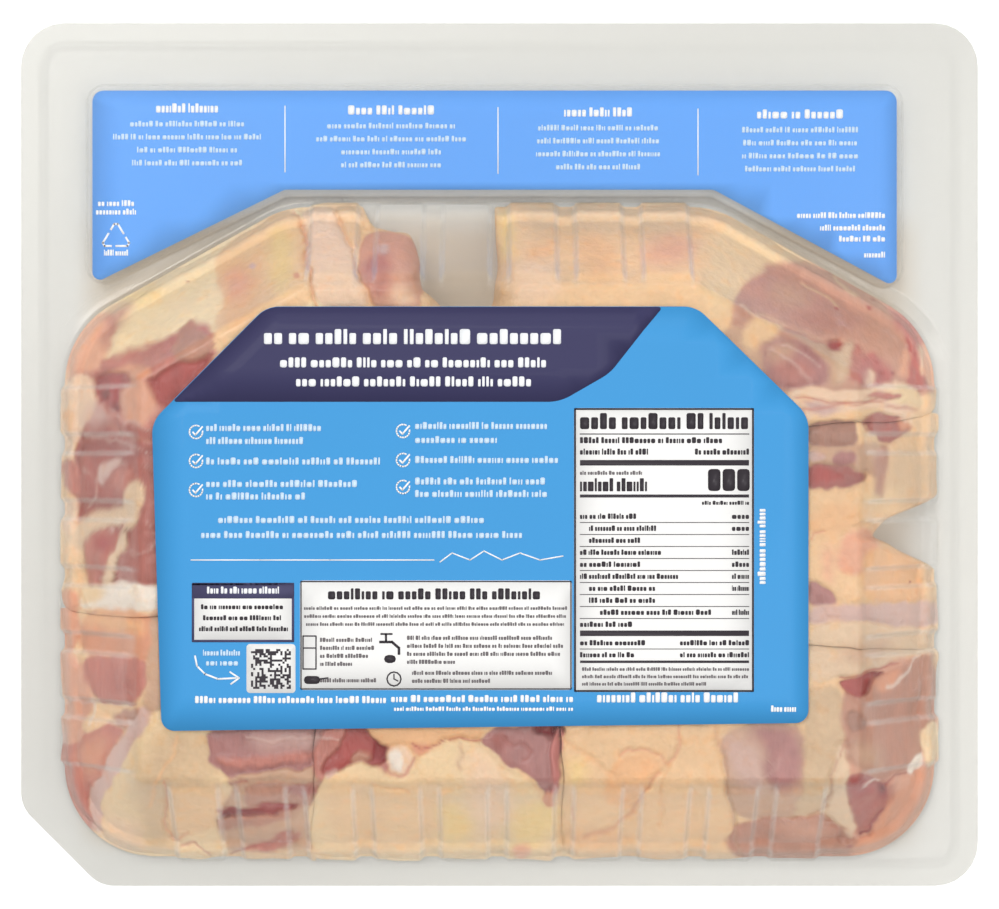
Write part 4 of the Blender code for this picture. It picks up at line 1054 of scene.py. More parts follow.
def build_tray(settings):
    """The clear shell: lofted flange, header compartment and cavity, joined by flat fills.

    A line of close corner points follows the strip of flange beside the card, so that its painted
    grey shade has a clean edge. The flanks of the ribs carry painted glints. The shell casts no shadow,
    which shortens the render.
    """
    half_w, half_l = HALF_WIDTH, HALF_LENGTH
    corners = ((half_w, half_l), (-half_w, half_l), (-half_w, -half_l + PEEL_CORNER),
               (-half_w + PEEL_CORNER, -half_l), (half_w, -half_l))
    rim, rim_normal = rounded_outline(corners, (11.5, 11.5, 9, 9, 11.5), 0.9)
    mouth, mouth_normal = rounded_outline(MOUTH_CORNERS, [MOUTH_RADIUS] * 6, 0.9, rib_stations)
    header, header_normal = rounded_outline(CARD_CORNERS, (3.2, 3.2, 7, 7, 3.2, 3.2), 0.5)
    relief = rib_relief(*mouth.T, *mouth_normal.T)

    flange_rings = [
        np.column_stack([rim - rim_normal * inset, np.full(len(rim), z)])
        for inset, z in filleted(FLANGE_PROFILE, 0.45, 5)
    ]
    section = subdivided(filleted(WALL_SECTION, WALL_FILLET, 6), 2.2)
    wall_rings = []
    # The flanks of the ribs carry painted glints
    flank = 4 * relief * (1 - relief)
    painted_glints = [np.zeros(len(flange_rings) * len(rim))]
    for inset, z, share in section:
        painted_glints.append(flank * share)
        spread = relief * share * settings.rib_depth - inset
        wall_rings.append(np.column_stack([mouth + mouth_normal * spread[:, None], np.full(len(mouth), z)]))
    header_rings = [
        np.column_stack([header + header_normal * margin, np.full(len(header), z)])
        for margin, z in subdivided(filleted(HEADER_PROFILE, 0.5, 5), 1.2)
    ]

    points = np.concatenate([*flange_rings, *wall_rings, *header_rings])
    wall_first = len(flange_rings) * len(rim)
    header_first = wall_first + len(wall_rings) * len(mouth)
    faces = [
        ring_faces(len(flange_rings), len(rim)),
        ring_faces(len(wall_rings), len(mouth), wall_first),
        ring_faces(len(header_rings), len(header), header_first),
    ]

    rim_loop = np.arange(len(rim)) + (len(flange_rings) - 1) * len(rim)
    mouth_loop = np.arange(len(mouth)) + wall_first
    header_loop = np.arange(len(header)) + header_first
    roof_loop = header_loop + (len(header_rings) - 1) * len(header)
    floor_loop = mouth_loop + (len(wall_rings) - 1) * len(mouth)
    # each fill: its loops, its level, the spacing of its points and how far it is warped, in mm
    fills = (
        ((rim_loop, mouth_loop, header_loop), FLANGE_TOP, 4.0, 0.1),
        ((roof_loop,), HEADER_PROFILE[-1][1], 6.0, 0.05),
        ((floor_loop,), TRAY_HEIGHT, 7.0, 0.0),
    )
    for loops, level, spacing, warp in fills:
        flat = [points[loop, :2] for loop in loops]

        def free(spots, margin=1.2):
            """Which places lie a margin inside the fill, clear of its holes."""
            inside = outline_distance(spots, flat[0]) > margin
            for hole in flat[1:]:
                inside &= outline_distance(spots, hole) < -margin
            return inside

        spots = grid_spots(flat[0], spacing, free)
        if level == FLANGE_TOP:
            strip = grid_spots(flat[0], 0.8, lambda places: off_strip(places) < 2.7)
            strip = strip[strip[:, 1] > 28]
            strip = strip[free(strip, 0.3)]
            clear_of_strip = (off_strip(spots) > 3.6) | (spots[:, 1] < 27)
            spots = np.concatenate([spots[clear_of_strip], strip])
        numbers = np.concatenate([*loops, len(points) + np.arange(len(spots))])
        heights = level + warp * fractal(*spots.T, 30.0, 2, 11)
        if not warp:
            heights = heights + panel_wave(*spots.T)
        points = np.concatenate([points, np.column_stack([spots, heights])])
        faces.append(numbers[flat_fill(flat, spots)])

    mesh = make_mesh("clear_tray", points, faces)
    # The strip beside the card carries painted grey shade
    add_attribute(mesh, "edge", painted_strip_shade(*points.T))
    painted_glints = np.concatenate(painted_glints)
    add_attribute(mesh, "painted_glint", np.pad(painted_glints, (0, len(points) - len(painted_glints))))
    turn_outwards(mesh, upwards=True)
    material = clear_plastic("clear_tray", TRAY_CLEARNESS, TRAY_HAZE, 0.2)
    tray = place_piece("clear_tray", mesh, material, "clear_tray", "tray")
    wall = tray.modifiers.new("Wall", "SOLIDIFY")
    wall.thickness = settings.wall
    wall.offset = -1
    wall.use_even_offset = True
    tray.visible_shadow = False
    return tray


def build_film():
    """The film keeps the form of its solid and gets a clear, slightly rippled finish."""
    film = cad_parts["lid_film"]
    film.data.materials.clear()
    film.data.materials.append(
        clear_plastic("lidding_film", FILM_CLEARNESS, FILM_HAZE, 0.25, JUICE_CLEARNESS))


def star_reach(centre, outline, angles):
    """Distance from a centre to an outline round it along each angle, to where the ray meets a side."""
    ray = np.stack([np.cos(angles), np.sin(angles)], 1)
    reach = np.zeros(len(angles))
    for a, b in zip(outline, np.roll(outline, -1, 0)):
        side, off = b - a, a - centre
        spread = ray[:, 0] * side[1] - ray[:, 1] * side[0]
        with np.errstate(divide="ignore", invalid="ignore"):
            along = (off[0] * side[1] - off[1] * side[0]) / spread
            share = (off[0] * ray[:, 1] - off[1] * ray[:, 0]) / spread
        hit = (along > 0) & (share >= -1e-6) & (share <= 1 + 1e-6)
        reach = np.where(hit, np.maximum(reach, along), reach)
    return reach


def paint_tissue(x, y, z):
    """Colour, depth below the tray in mm and muscle share at plan places, layer over layer.

    The noise runs on outwards down the walls, so that it is less drawn out there.
    An area covers what is under it by an eased share of its signed distance. Its furrow is
    deepest along its edge and dies away as exp(-(d / 1.1)^2) outside and exp(-d / 1.8) inside.
    """
    across, down = plan_places(x, y, z)
    from_mouth, normal_x, normal_y = mouth_distance(x, y)
    unrolled = WALL_UNROLLING * (TRAY_HEIGHT - z)
    u, v = x + normal_x * unrolled, y + normal_y * unrolled
    warp_a = 5.0 * fractal(u, v, 13.0, 3, 21) + 3.2 * fractal(u, v, 3.6, 3, 23)
    warp_b = 5.0 * fractal(u, v, 13.0, 3, 31) + 3.2 * fractal(u, v, 3.6, 3, 33)
    spots = np.stack([across + warp_a, down + warp_b], 1)
    colours = {name: linear(seen) for name, seen in TISSUE_COLOURS.items()}
    mottle = fractal(u, v, 16.0, 3, 41)[:, None]
    pale = ease(-0.1, 0.5, mottle)
    colour = colours["skin"] * (1 - 0.5 * pale) + colours["cream"] * 0.5 * pale
    depth = np.zeros(len(x))
    muscle = np.zeros(len(x))
    for tissue, softness, furrow, corners in AREAS:
        outline = softened(np.array(corners, float).reshape(-1, 2))
        patch = not furrow and softness > 6
        softness = softness * 2.4 if patch else softness * 1.3 + 1.2
        reach = softness + 14
        near = np.all((spots > outline.min(0) - reach) & (spots < outline.max(0) + reach), 1)
        if not near.any():
            continue
        away = outline_distance(spots[near], outline)
        cover = ease(-softness / 2, softness / 2, away)
        cover = cover * 0.8 if patch else cover
        shade = 1 + 0.09 * mottle[near]
        colour[near] += (colours[tissue] * shade - colour[near]) * cover[:, None]
        muscle[near] += (MUSCLE.get(tissue, 0) - muscle[near]) * cover
        if furrow:
            furrow = furrow * FURROW_SHARE
            gap = away * UNIT
            outside = depth[near] + furrow * np.exp(-(np.minimum(gap, 0) / 1.1) ** 2)
            inside = SUNK.get(tissue, 0.0) + furrow * np.exp(-np.maximum(gap, 0) / 1.8)
            depth[near] = outside + (inside - outside) * cover
        else:
            depth[near] += (SUNK.get(tissue, 0.0) - depth[near]) * cover * 0.6
    for tissue, width, deep, path in FOLDS:
        line = np.array(path, float).reshape(-1, 2)
        near = np.all((spots > line.min(0) - 12) & (spots < line.max(0) + 12), 1)
        if not near.any():
            continue
        away = np.full(near.sum(), np.inf)
        for a, b in zip(line, line[1:]):
            off = spots[near] - a
            share = np.clip(off @ (b - a) / ((b - a) @ (b - a)), 0, 1)
            away = np.minimum(away, np.hypot(*(off - share[:, None] * (b - a)).T))
        cover = np.exp(-(away / width) ** 2)
        colour[near] += (colours[tissue] - colour[near]) * 0.6 * cover[:, None]
        depth[near] += deep * FURROW_SHARE * np.exp(-(away / (width * 1.7)) ** 2)
    for tissue, spot_x, spot_y, radius in SPECKS:
        away = np.hypot(across + 0.3 * warp_a - spot_x, down + 0.3 * warp_b - spot_y)
        cover = 1 - ease(radius * 0.6, radius * 1.3, away)
        colour += (colours[tissue] - colour) * 0.85 * cover[:, None]
    strands = np.abs(fractal(u, v, 10.0, 3, 91))
    sinew = (1 - ease(0.0, 0.05, strands)) * ease(0.0, 0.4, fractal(u, v, 22.0, 2, 95)) * muscle
    colour += (colours["lilac"] - colour) * 0.4 * sinew[:, None]
    depth -= 0.3 * sinew
    return under_sheet(colour, from_mouth, muscle), depth, muscle


def inner_height(x, y, depth):
    """Height of a surface that lies a depth below the tray's inside, square to its wall."""
    inside, normal_x, normal_y = mouth_distance(x, y)
    relief = rib_relief(x, y, normal_x, normal_y)
    section = subdivided(filleted(WALL_SECTION, WALL_FILLET, 6), 0.5)
    inset = inside + RIB_SHARE * RIB_DEPTH * relief * (1 - ease(19, 22, inside))
    steps = np.maximum(np.diff(section[:, 0]), 1e-6)
    slope = np.diff(section[:, 1]) / steps
    middles = (section[1:, 0] + section[:-1, 0]) / 2
    lean = np.sqrt(1 + np.interp(inset, middles, slope) ** 2)
    level = np.interp(inset, section[:, 0], section[:, 1])
    return level - (depth + CONTACT) * np.minimum(lean, 2.4)


def room(x, y):
    """How far places lie inside the mouth, the ribs counted in."""
    inside, normal_x, normal_y = mouth_distance(x, y)
    return inside + RIB_DEPTH * RIB_SHARE * rib_relief(x, y, normal_x, normal_y)


def smoothed_round(values):
    """Values round a closed rim, each blended with its neighbours by weights exp(-(k / 3)^2)."""
    weights = np.exp(-((np.arange(-RIM_SMOOTHING, RIM_SMOOTHING + 1) / 3.0) ** 2))
    padded = np.concatenate([values[-RIM_SMOOTHING:], values, values[:RIM_SMOOTHING]])
    return np.convolve(padded, weights / weights.sum(), "valid")


def build_thigh(name, material, slot):
    """One thigh: rays from its middle, and rings that run over its top, round its rim and under it.

    The top is the tray's inner form less the depth of the tissue. Near the rim it curves down to
    the rim's level along a quarter of an ellipse, and the underside comes up to it there. Where
    two thighs meet, the rim of one lies high and the other's edge runs on below it.
    """
    outline = np.array(THIGHS[name], float)
    centre = outline.mean(0)
    angles = np.arange(SPOKES) * 2 * math.pi / SPOKES
    sides = subdivided(np.concatenate([outline, outline[:1]]), 1.5)[:-1]
    sides = sides + np.stack([1.3 * fractal(*sides.T, 10.0, 2, seed) for seed in (51, 53)], 1)
    reach = smoothed_round(star_reach(centre, sides, angles))
    ray = np.stack([np.cos(angles), np.sin(angles)], 1)
    rim = centre + ray * reach[:, None]
    kinds = np.where(room(*rim.T) < EDGE_CLEARANCE, "walled", "free")
    for other, corners in THIGHS.items():
        beside = (outline_distance(rim, np.array(corners, float)) > -MEETING_REACH) & (kinds == "free")
        if other != name:
            over = LYING_OVER.index(name) < LYING_OVER.index(other)
            kinds = np.where(beside, "over" if over else "under", kinds)
    edge = np.array([EDGES[kind] for kind in kinds])
    extra, drop, top_roll, under_roll, square = (smoothed_round(column) for column in edge.T)
    reach = reach + extra
    low, high = np.zeros(SPOKES), reach.copy()
    for _ in range(22):
        middle = (low + high) / 2
        free = room(*(centre + ray * middle[:, None]).T) >= EDGE_CLEARANCE
        low, high = np.where(free, middle, low), np.where(free, high, middle)
    walled = room(*(centre + ray * reach[:, None]).T) < EDGE_CLEARANCE
    reach = np.where(walled, low, reach)

    top_share = 1 - (1 - np.linspace(0, 1, TOP_ROWS + 1)[1:]) ** 1.65
    under_share = top_share[-1] - np.linspace(0, 1, UNDER_ROWS + 1)[1:-1] ** 1.6
    share = np.concatenate([top_share, under_share])
    x = centre[0] + ray[:, 0] * reach * share[:, None]
    y = centre[1] + ray[:, 1] * reach * share[:, None]
    flat_x, flat_y = x.ravel(), y.ravel()
    level = inner_height(flat_x, flat_y, np.zeros(x.size))
    colour, depth, muscle = paint_tissue(flat_x, flat_y, np.maximum(level, FLANGE_TOP))
    relief = 0.35 + 0.5 * fractal(flat_x, flat_y, 11.0, 3, 61) + 0.15 * fractal(flat_x, flat_y, 2.6, 2, 71)
    depth = np.maximum(depth + relief, 0)
    ceiling = inner_height(flat_x, flat_y, depth).reshape(x.shape)
    floor = FILM_TOP + 0.5 * fractal(flat_x, flat_y, 13.0, 2, 81).reshape(x.shape) ** 2
    inside = room(flat_x, flat_y).reshape(x.shape)
    floor = np.minimum(floor, 1.8 + 0.25 * inside)
    ceiling = np.maximum(ceiling, floor + 0.4)
    middle = np.maximum(ceiling - drop, (floor + ceiling) / 2)
    to_rim = (1 - share)[:, None] * reach
    to_top = 1 - np.minimum(to_rim / top_roll, 1)
    top_closing = np.maximum(0, 1 - to_top ** square) ** (1 / square)
    under_closing = np.minimum(to_rim / under_roll, 1) ** np.where(drop < 3, 3.0, 0.6)
    above = np.arange(len(share))[:, None] < TOP_ROWS
    upper = middle + (ceiling - middle) * top_closing
    lower = middle - (middle - floor) * under_closing
    z = np.where(above, upper, lower)

    points = np.stack([x.ravel(), y.ravel(), z.ravel()], 1)
    faces = ring_faces(len(share), SPOKES)
    top_pole, under_pole = len(points), len(points) + 1
    top_z, under_z = z[0].mean(), z[-1].mean()
    points = np.concatenate([points, [[*centre, top_z], [*centre, under_z]]])
    spot = np.arange(SPOKES)
    beside = (spot + 1) % SPOKES
    last = (len(share) - 1) * SPOKES
    caps = np.concatenate([
        np.stack([np.full(SPOKES, top_pole), spot, beside], 1),
        np.stack([np.full(SPOKES, under_pole), last + beside, last + spot], 1),
    ])
    mesh = make_mesh(name + "_meat", points, [faces, caps])
    colour = np.concatenate([colour, colour[:1], colour[-1:]])
    muscle = np.concatenate([muscle, muscle[:1], muscle[-1:]])
    add_attribute(mesh, "tissue", colour)
    add_attribute(mesh, "muscle", muscle)
    turn_outwards(mesh)
    return place_piece(name + "_meat", mesh, material, slot, name)


def plate_mesh(name, outline, level, thickness, wave):
    """A thin closed sheet: the outline filled at two levels and joined by a wall."""
    spots = grid_spots(outline, SHEET_SPACING, lambda places: outline_distance(places, outline) > 1.5)
    flat = np.concatenate([outline, spots])
    top = level + (panel_wave(*flat.T) if wave else 0.0)
    points = np.concatenate([
        np.column_stack([flat, np.broadcast_to(top, len(flat))]),
        np.column_stack([flat, np.broadcast_to(top - thickness, len(flat))]),
    ])
    fill = flat_fill([outline], spots)
    spot = np.arange(len(outline))
    beside = (spot + 1) % len(outline)
    wall = np.stack([spot, beside, beside + len(flat), spot + len(flat)], 1)
    mesh = make_mesh(name, points, [fill, fill[:, ::-1] + len(flat), wall], smooth=False)
    turn_outwards(mesh)
    return mesh


def bar(left, top, right, bottom, roundness=0.5):
    """A bar with rounded ends in plan units, as a loop of corners."""
    radius = roundness * min(right - left, bottom - top)
    turn = np.radians(np.arange(0, 91, 45))
    loop = []
    for x, y, start in ((right, bottom, 0), (left, bottom, 90), (left, top, 180), (right, top, 270)):
        centre_x = x - math.copysign(radius, x - (left + right) / 2)
        centre_y = y - math.copysign(radius, y - (top + bottom) / 2)
        angle = turn + math.radians(start)
        loop.append(np.stack([centre_x + radius * np.cos(angle), centre_y + radius * np.sin(angle)], 1))
    return np.concatenate(loop)


def stroke(path, width, closed=False):
    """A line through places in plan units, as one rectangle for each stretch."""
    path = np.array(path, float).reshape(-1, 2)
    ends = np.roll(path, -1, 0) if closed else path[1:]
    shapes = []
    for a, b in zip(path, ends):
        along = (b - a) / np.hypot(*(b - a)) * width / 2
        side = np.array([-along[1], along[0]])
        start, end = a - along * 0.6, b + along * 0.6
        shapes.append(np.array([start - side, end - side, end + side, start + side]))
    return shapes


def words(left, right, top, bottom, seed, weight=1.0):
    """A line of print as small upright bars from a seeded draw, which fill the line exactly.

    The bars of a word stand close together, about a third of them are a little taller, and the
    gaps between words are about as wide as the line is high.
    """
    height = (bottom - top) * 0.74
    draw = np.random.default_rng(seed)
    marks, x, count = [], 0.0, 0
    span = right - left
    while x < span or count:
        count = count or int(draw.integers(2, 9))
        wide = height * draw.choice((0.34, 0.6, 0.66, 0.72, 0.95))
        rise = height * draw.choice((0, 0, 0.36))
        marks.append((x, x + wide, rise))
        count -= 1
        x += wide + height * (0.2 if count else 0.62)
        if x > span * 0.97 and not count:
            break
    stretch = span / marks[-1][1]
    middle = (top + bottom) / 2 + height * 0.1
    upper, lower = middle - height / 2, middle + height / 2
    return [
        bar(left + a * stretch, upper - rise, left + b * stretch, lower, 0.28 * weight)
        for a, b, rise in marks
    ]


def ink_mesh(name, shapes, level, wave, z_view):
    """Thin closed plates, one for each loop of places in plan units, joined in one mesh."""
    points, face_sets, first = [], [], 0
    for shape in shapes:
        flat = from_plan(shape, z_view)
        count = len(flat)
        top = level + (panel_wave(*flat.T) if wave else 0.0)
        points.append(np.column_stack([flat, np.broadcast_to(top, count)]))
        points.append(np.column_stack([flat, np.broadcast_to(top - INK_THICKNESS, count)]))
        spot = np.arange(count)
        beside = (spot + 1) % count
        face_sets.append(first + spot[None])
        face_sets.append(first + count + spot[None, ::-1])
        face_sets.append(first + np.stack([spot, spot + count, beside + count, beside], 1))
        first += 2 * count
    mesh = make_mesh(name, np.concatenate(points), face_sets, smooth=False)
    turn_outwards(mesh)
    return mesh


def header_print():
    """Bars, rules and a recycling triangle on the header card."""
    strong, fine = [], []
    columns = (
        (187, 108.5, 31, (57, 74, 50, 55)), (391, 110.5, 43, (64, 75, 50, 50)),
        (598, 112.5, 34, (60, 61, 62, 42)), (800, 114.5, 43, (58, 57, 58, 55)),
    )
    for k, (middle, title, half, lines) in enumerate(columns):
        strong += words(middle - half, middle + half, title - 4.6, title + 4.6, 100 + k, 0.9)
        for row, reach in enumerate(lines):
            y = title + 15.5 + 13 * row
            fine += words(middle - reach, middle + reach, y - 2.9, y + 2.9, 110 + 10 * k + row)
    for x, y in ((285, 139), (498, 140.5), (698, 142)):
        strong += stroke((x, y - 33, x, y + 33), 1.2)
    sides = ((98, 134, 203.5), (96, 136, 212), (104, 128, 253), (797, 885, 215.5),
             (820, 885, 228), (839, 885, 239), (864, 885, 255))
    for k, (left, right, y) in enumerate(sides):
        strong += words(left, right, y - 3, y + 3, 160 + k)
    corners = np.array([(116, 221), (131, 246), (101, 246)], float)
    for k in range(3):
        here, ahead, behind = corners[k], corners[(k + 1) % 3], corners[k - 1]
        strong += stroke(np.array([here + (behind - here) * 0.34, here + (behind - here) * 0.12,
                                   here + (ahead - here) * 0.12, here + (ahead - here) * 0.5]), 2.0)
    return strong, fine


def label_print():
    """Everything printed on the label, as loops of places: white, pale, black and grey."""
    white, pale, black, grey = [], [], [], []
    white += words(264, 561, 330, 345, 200, 0.7)
    white += words(280, 546, 358, 368, 201) + words(296, 531, 377, 387, 202)
    for x, rows in ((196, (432, 461, 490)), (403, (431, 460, 487))):
        for y in rows:
            angle = np.radians(np.arange(20, 350, 22)) - 0.5
            white += stroke(np.stack([x + 6.6 * np.cos(angle), y + 6.6 * np.sin(angle)], 1), 1.5)
            white += stroke((x - 3.2, y + 0.2, x - 0.6, y + 3, x + 6.4, y - 5.2), 1.8)
    lines = (
        (206, 321, 428), (206, 303, 441), (206, 380, 461.5), (206, 357, 484), (206, 305, 496.5),
        (415, 547, 426), (415, 497, 440), (415, 558, 460), (415, 545, 481.5), (415, 547, 494),
        (218, 484, 520), (201, 522, 535),
    )
    for k, (left, right, y) in enumerate(lines):
        pale += words(left, right, y - 3.6, y + 3.6, 210 + k)
    white += stroke((191, 560, 260, 560, 330, 560, 434, 560), 1.2)
    white += stroke((440, 562, 452, 553, 470, 560, 484, 551, 502, 560, 520, 553, 540, 560, 563, 556), 1.3)
    pale += words(203, 240, 650, 656, 230) + words(206, 238, 660, 666, 231)
    white += stroke((195, 656, 197, 666, 205, 674, 218, 679, 236, 678), 1.8)
    white += stroke((230, 672, 239, 678, 231, 684), 1.8)
    for left, right, y, half in ((195, 386, 700, 3.6), (391, 573, 699, 3.6), (394, 573, 709, 2.2),
                                 (771, 796, 709, 3.2)):
        white += words(left, right, y - half, y + half, int(left + y))
    white += words(597, 738, 693, 703, 240, 0.8)
    white += words_upright(758, 766, 509, 584, 241)
    # cooking hints panel
    white += words(207, 279, 587, 594, 250, 0.9)
    for k, (left, right) in enumerate(((201, 283), (203, 281), (199, 288))):
        black += words(left, right, 604.5 + 11 * k, 609.5 + 11 * k, 251 + k)
    # code patch
    draw = np.random.default_rng(77)
    cells = draw.random((CODE_CELLS, CODE_CELLS)) < 0.5
    for row, column in zip(*np.nonzero(cells)):
        x, y = 251 + CODE_CELL * column, 649 + CODE_CELL * row
        black.append(bar(x, y, x + CODE_CELL, y + CODE_CELL, 0.0))
    # handling panel
    black += words(328, 540, 589, 600, 260, 0.8)
    for k, (left, right) in enumerate(((304, 567), (304, 566), (306, 564))):
        grey += words(left, right, 606.5 + 8 * k, 610 + 8 * k, 261 + k)
    for k, (left, right, y) in enumerate((
        (320, 372, 640), (320, 374, 648), (320, 368, 656), (320, 352, 664), (320, 376, 680.5),
        (407, 552, 638), (407, 563, 646), (407, 560, 654), (407, 455, 662), (412, 552, 673),
        (412, 490, 681),
    )):
        grey += words(left, right, y - 2.1, y + 2.1, 270 + k)
    black += stroke((303, 636, 316, 636, 316, 669, 303, 669), 1.3, True) + stroke((303, 648, 316, 648), 1.3)
    black += stroke((380, 642, 392, 642, 399, 648, 399, 654), 2.6) + stroke((386, 634, 386, 641), 2.2)
    black += stroke((381, 634, 392, 634), 1.8) + [bar(384, 655, 396, 663, 0.5)]
    black += [bar(304, 676, 320, 684, 0.4)] + stroke((320, 679, 328, 678), 1.6)
    angle = np.radians(np.arange(0, 360, 30))
    black += stroke(np.stack([394 + 7 * np.cos(angle), 679 + 7 * np.sin(angle)], 1), 1.4, True)
    black += stroke((394, 674, 394, 679, 398, 681), 1.2)
    # facts panel
    black += words(580, 748, 414, 430, 280, 0.75)
    black += stroke((580, 434, 664, 434, 749, 434), 1.0)
    for k, (left, right, y) in enumerate(((580, 722, 440.5), (580, 648, 452), (695, 749, 452))):
        black += words(left, right, y - 3, y + 3, 281 + k)
    black.append(bar(580, 460, 749, 465.5, 0.0))
    grey += words(580, 642, 471, 475, 284)
    black += words(580, 647, 479, 492, 285, 0.5)
    black += [bar(708 + 14.6 * k, 469, 720.5 + 14.6 * k, 491, 0.25) for k in range(3)]
    black.append(bar(580, 494.5, 749, 497.5, 0.0))
    black += words(702, 749, 501, 505, 286)
    rows = ((0, 636, 1), (9, 656, 1), (9, 640, 0), (0, 661, 1), (0, 640, 1), (0, 678, 1), (9, 655, 1),
            (9, 655, 0), (20, 711, 1), (0, 632, 0))
    for k, (shift, right, share) in enumerate(rows):
        y = 516.5 + 12 * k
        black += words(580 + shift, right, y - 2.7, y + 2.7, 290 + k)
        if share:
            black += words(732, 749, y - 2.7, y + 2.7, 320 + k)
        if k:
            black += stroke((580, y - 6, 664, y - 6, 749, y - 6), 0.7)
    black.append(bar(580, 630.5, 749, 636, 0.0))
    feet = ((580, 645, 643), (680, 749, 643), (580, 634, 655), (680, 749, 655))
    for k, (left, right, y) in enumerate(feet):
        black += words(left, right, y - 2.6, y + 2.6, 340 + k)
    black += stroke((580, 649, 664, 649, 749, 649), 0.7)
    black.append(bar(580, 660.5, 749, 663, 0.0))
    for k in range(3):
        grey += words(582, (749, 748, 706)[k], 667.5 + 7.4 * k, 671 + 7.4 * k, 350 + k)
    return white, pale, black, grey


def words_upright(left, right, top, bottom, seed):
    """The same bars turned to run down the label."""
    return [shape[:, ::-1] for shape in words(top, bottom, left, right, seed, 0.8)]


def frame_shapes(left, top, right, bottom, width):
    """The four sides of a printed frame, in plan units."""
    return stroke((left, top, right, top, right, bottom, left, bottom), width, True)


def build_header_card():
    """The printed card in the compartment, with its titles and its fine lines."""
    outline = rounded_outline(CARD_CORNERS, (3, 2, 3, 3, 2, 3), 0.5)[0]
    mesh = plate_mesh("header_card_sheet", outline, CARD_LEVEL, CARD_THICKNESS, False)
    material = printed("card_blue", PRINT_COLOURS["card_blue"], 0.5, 0.0)
    place_piece("header_card_sheet", mesh, material, "card_blue", "header_card")
    strong, fine = header_print()
    inks = (("header_card_titles", strong, "ink_white"), ("header_card_lines", fine, "ink_pale"))
    for name, shapes, ink in inks:
        mesh = ink_mesh(name, shapes, CARD_LEVEL + 0.05, False, CARD_LEVEL)
        place_piece(name, mesh, ink_material(ink), "panel_white")


def ink_material(name):
    """The ink or white board of a name, made once."""
    return bpy.data.materials.get(name) or printed(name, PRINT_COLOURS[name], 0.45, 0.1)


def build_label():
    """The label, its banner and its white panels, each a thin sheet on the one below."""
    sheets = (
        ("label_sheet", LABEL_OUTLINE, (8, 8, 3.4, 3.4, 8, 8), LABEL_LEVEL, LABEL_THICKNESS,
         "label_blue", "label"),
        ("banner_sheet", BANNER_OUTLINE, (7.8, 0.4, 12, 12, 9, 0.5), FIELD_LEVEL, FIELD_THICKNESS,
         "banner_navy", "label_banner"),
    )
    for name, places, radii, level, thickness, slot, node in sheets:
        outline = rounded_outline(from_plan(places, LABEL_LEVEL), radii, 0.6)[0]
        mesh = plate_mesh(name, outline, level, thickness, True)
        place_piece(name, mesh, printed(slot, PRINT_COLOURS[slot]), slot, node)
    for name, (node, (left, top, right, bottom)) in FIELDS.items():
        corners = from_plan(((left, top), (left, bottom), (right, bottom), (right, top)), LABEL_LEVEL)
        outline = rounded_outline(corners, [0.9] * 4, 0.3)[0]
        mesh = plate_mesh(name, outline, FIELD_LEVEL, FIELD_THICKNESS, True)
        place_piece(name, mesh, ink_material("panel_white"), "panel_white", node)


def build_label_print():
    """The inks on the label, one piece for each colour."""
    white, pale, black, grey = label_print()
    black += frame_shapes(575, 409, 753, 691, 1.8) + frame_shapes(301, 581.5, 571, 689, 1.2)
    navy = [bar(192, 583, 294, 598.5, 0.12)] + frame_shapes(193, 584, 293, 641, 2.4)
    for name, shapes, ink, slot, level in (
        ("label_navy_print", navy, "banner_navy", "banner_navy", INK_LEVEL - 0.03),
        ("label_white_print", white, "ink_white", "panel_white", INK_LEVEL),
        ("label_pale_print", pale, "ink_pale", "panel_white", INK_LEVEL),
        ("label_black_print", black, "ink_black", "banner_navy", INK_LEVEL),
        ("label_grey_print", grey, "ink_grey", "banner_navy", INK_LEVEL),
    ):
        place_piece(name, ink_mesh(name, shapes, level, True, LABEL_LEVEL), ink_material(ink), slot)


def build_thighs():
    """All six thighs in one material."""
    material = raw_chicken()
    for name in THIGHS:
        build_thigh(name, material, "chicken_flesh" if name == "thigh_right" else "chicken_skin")


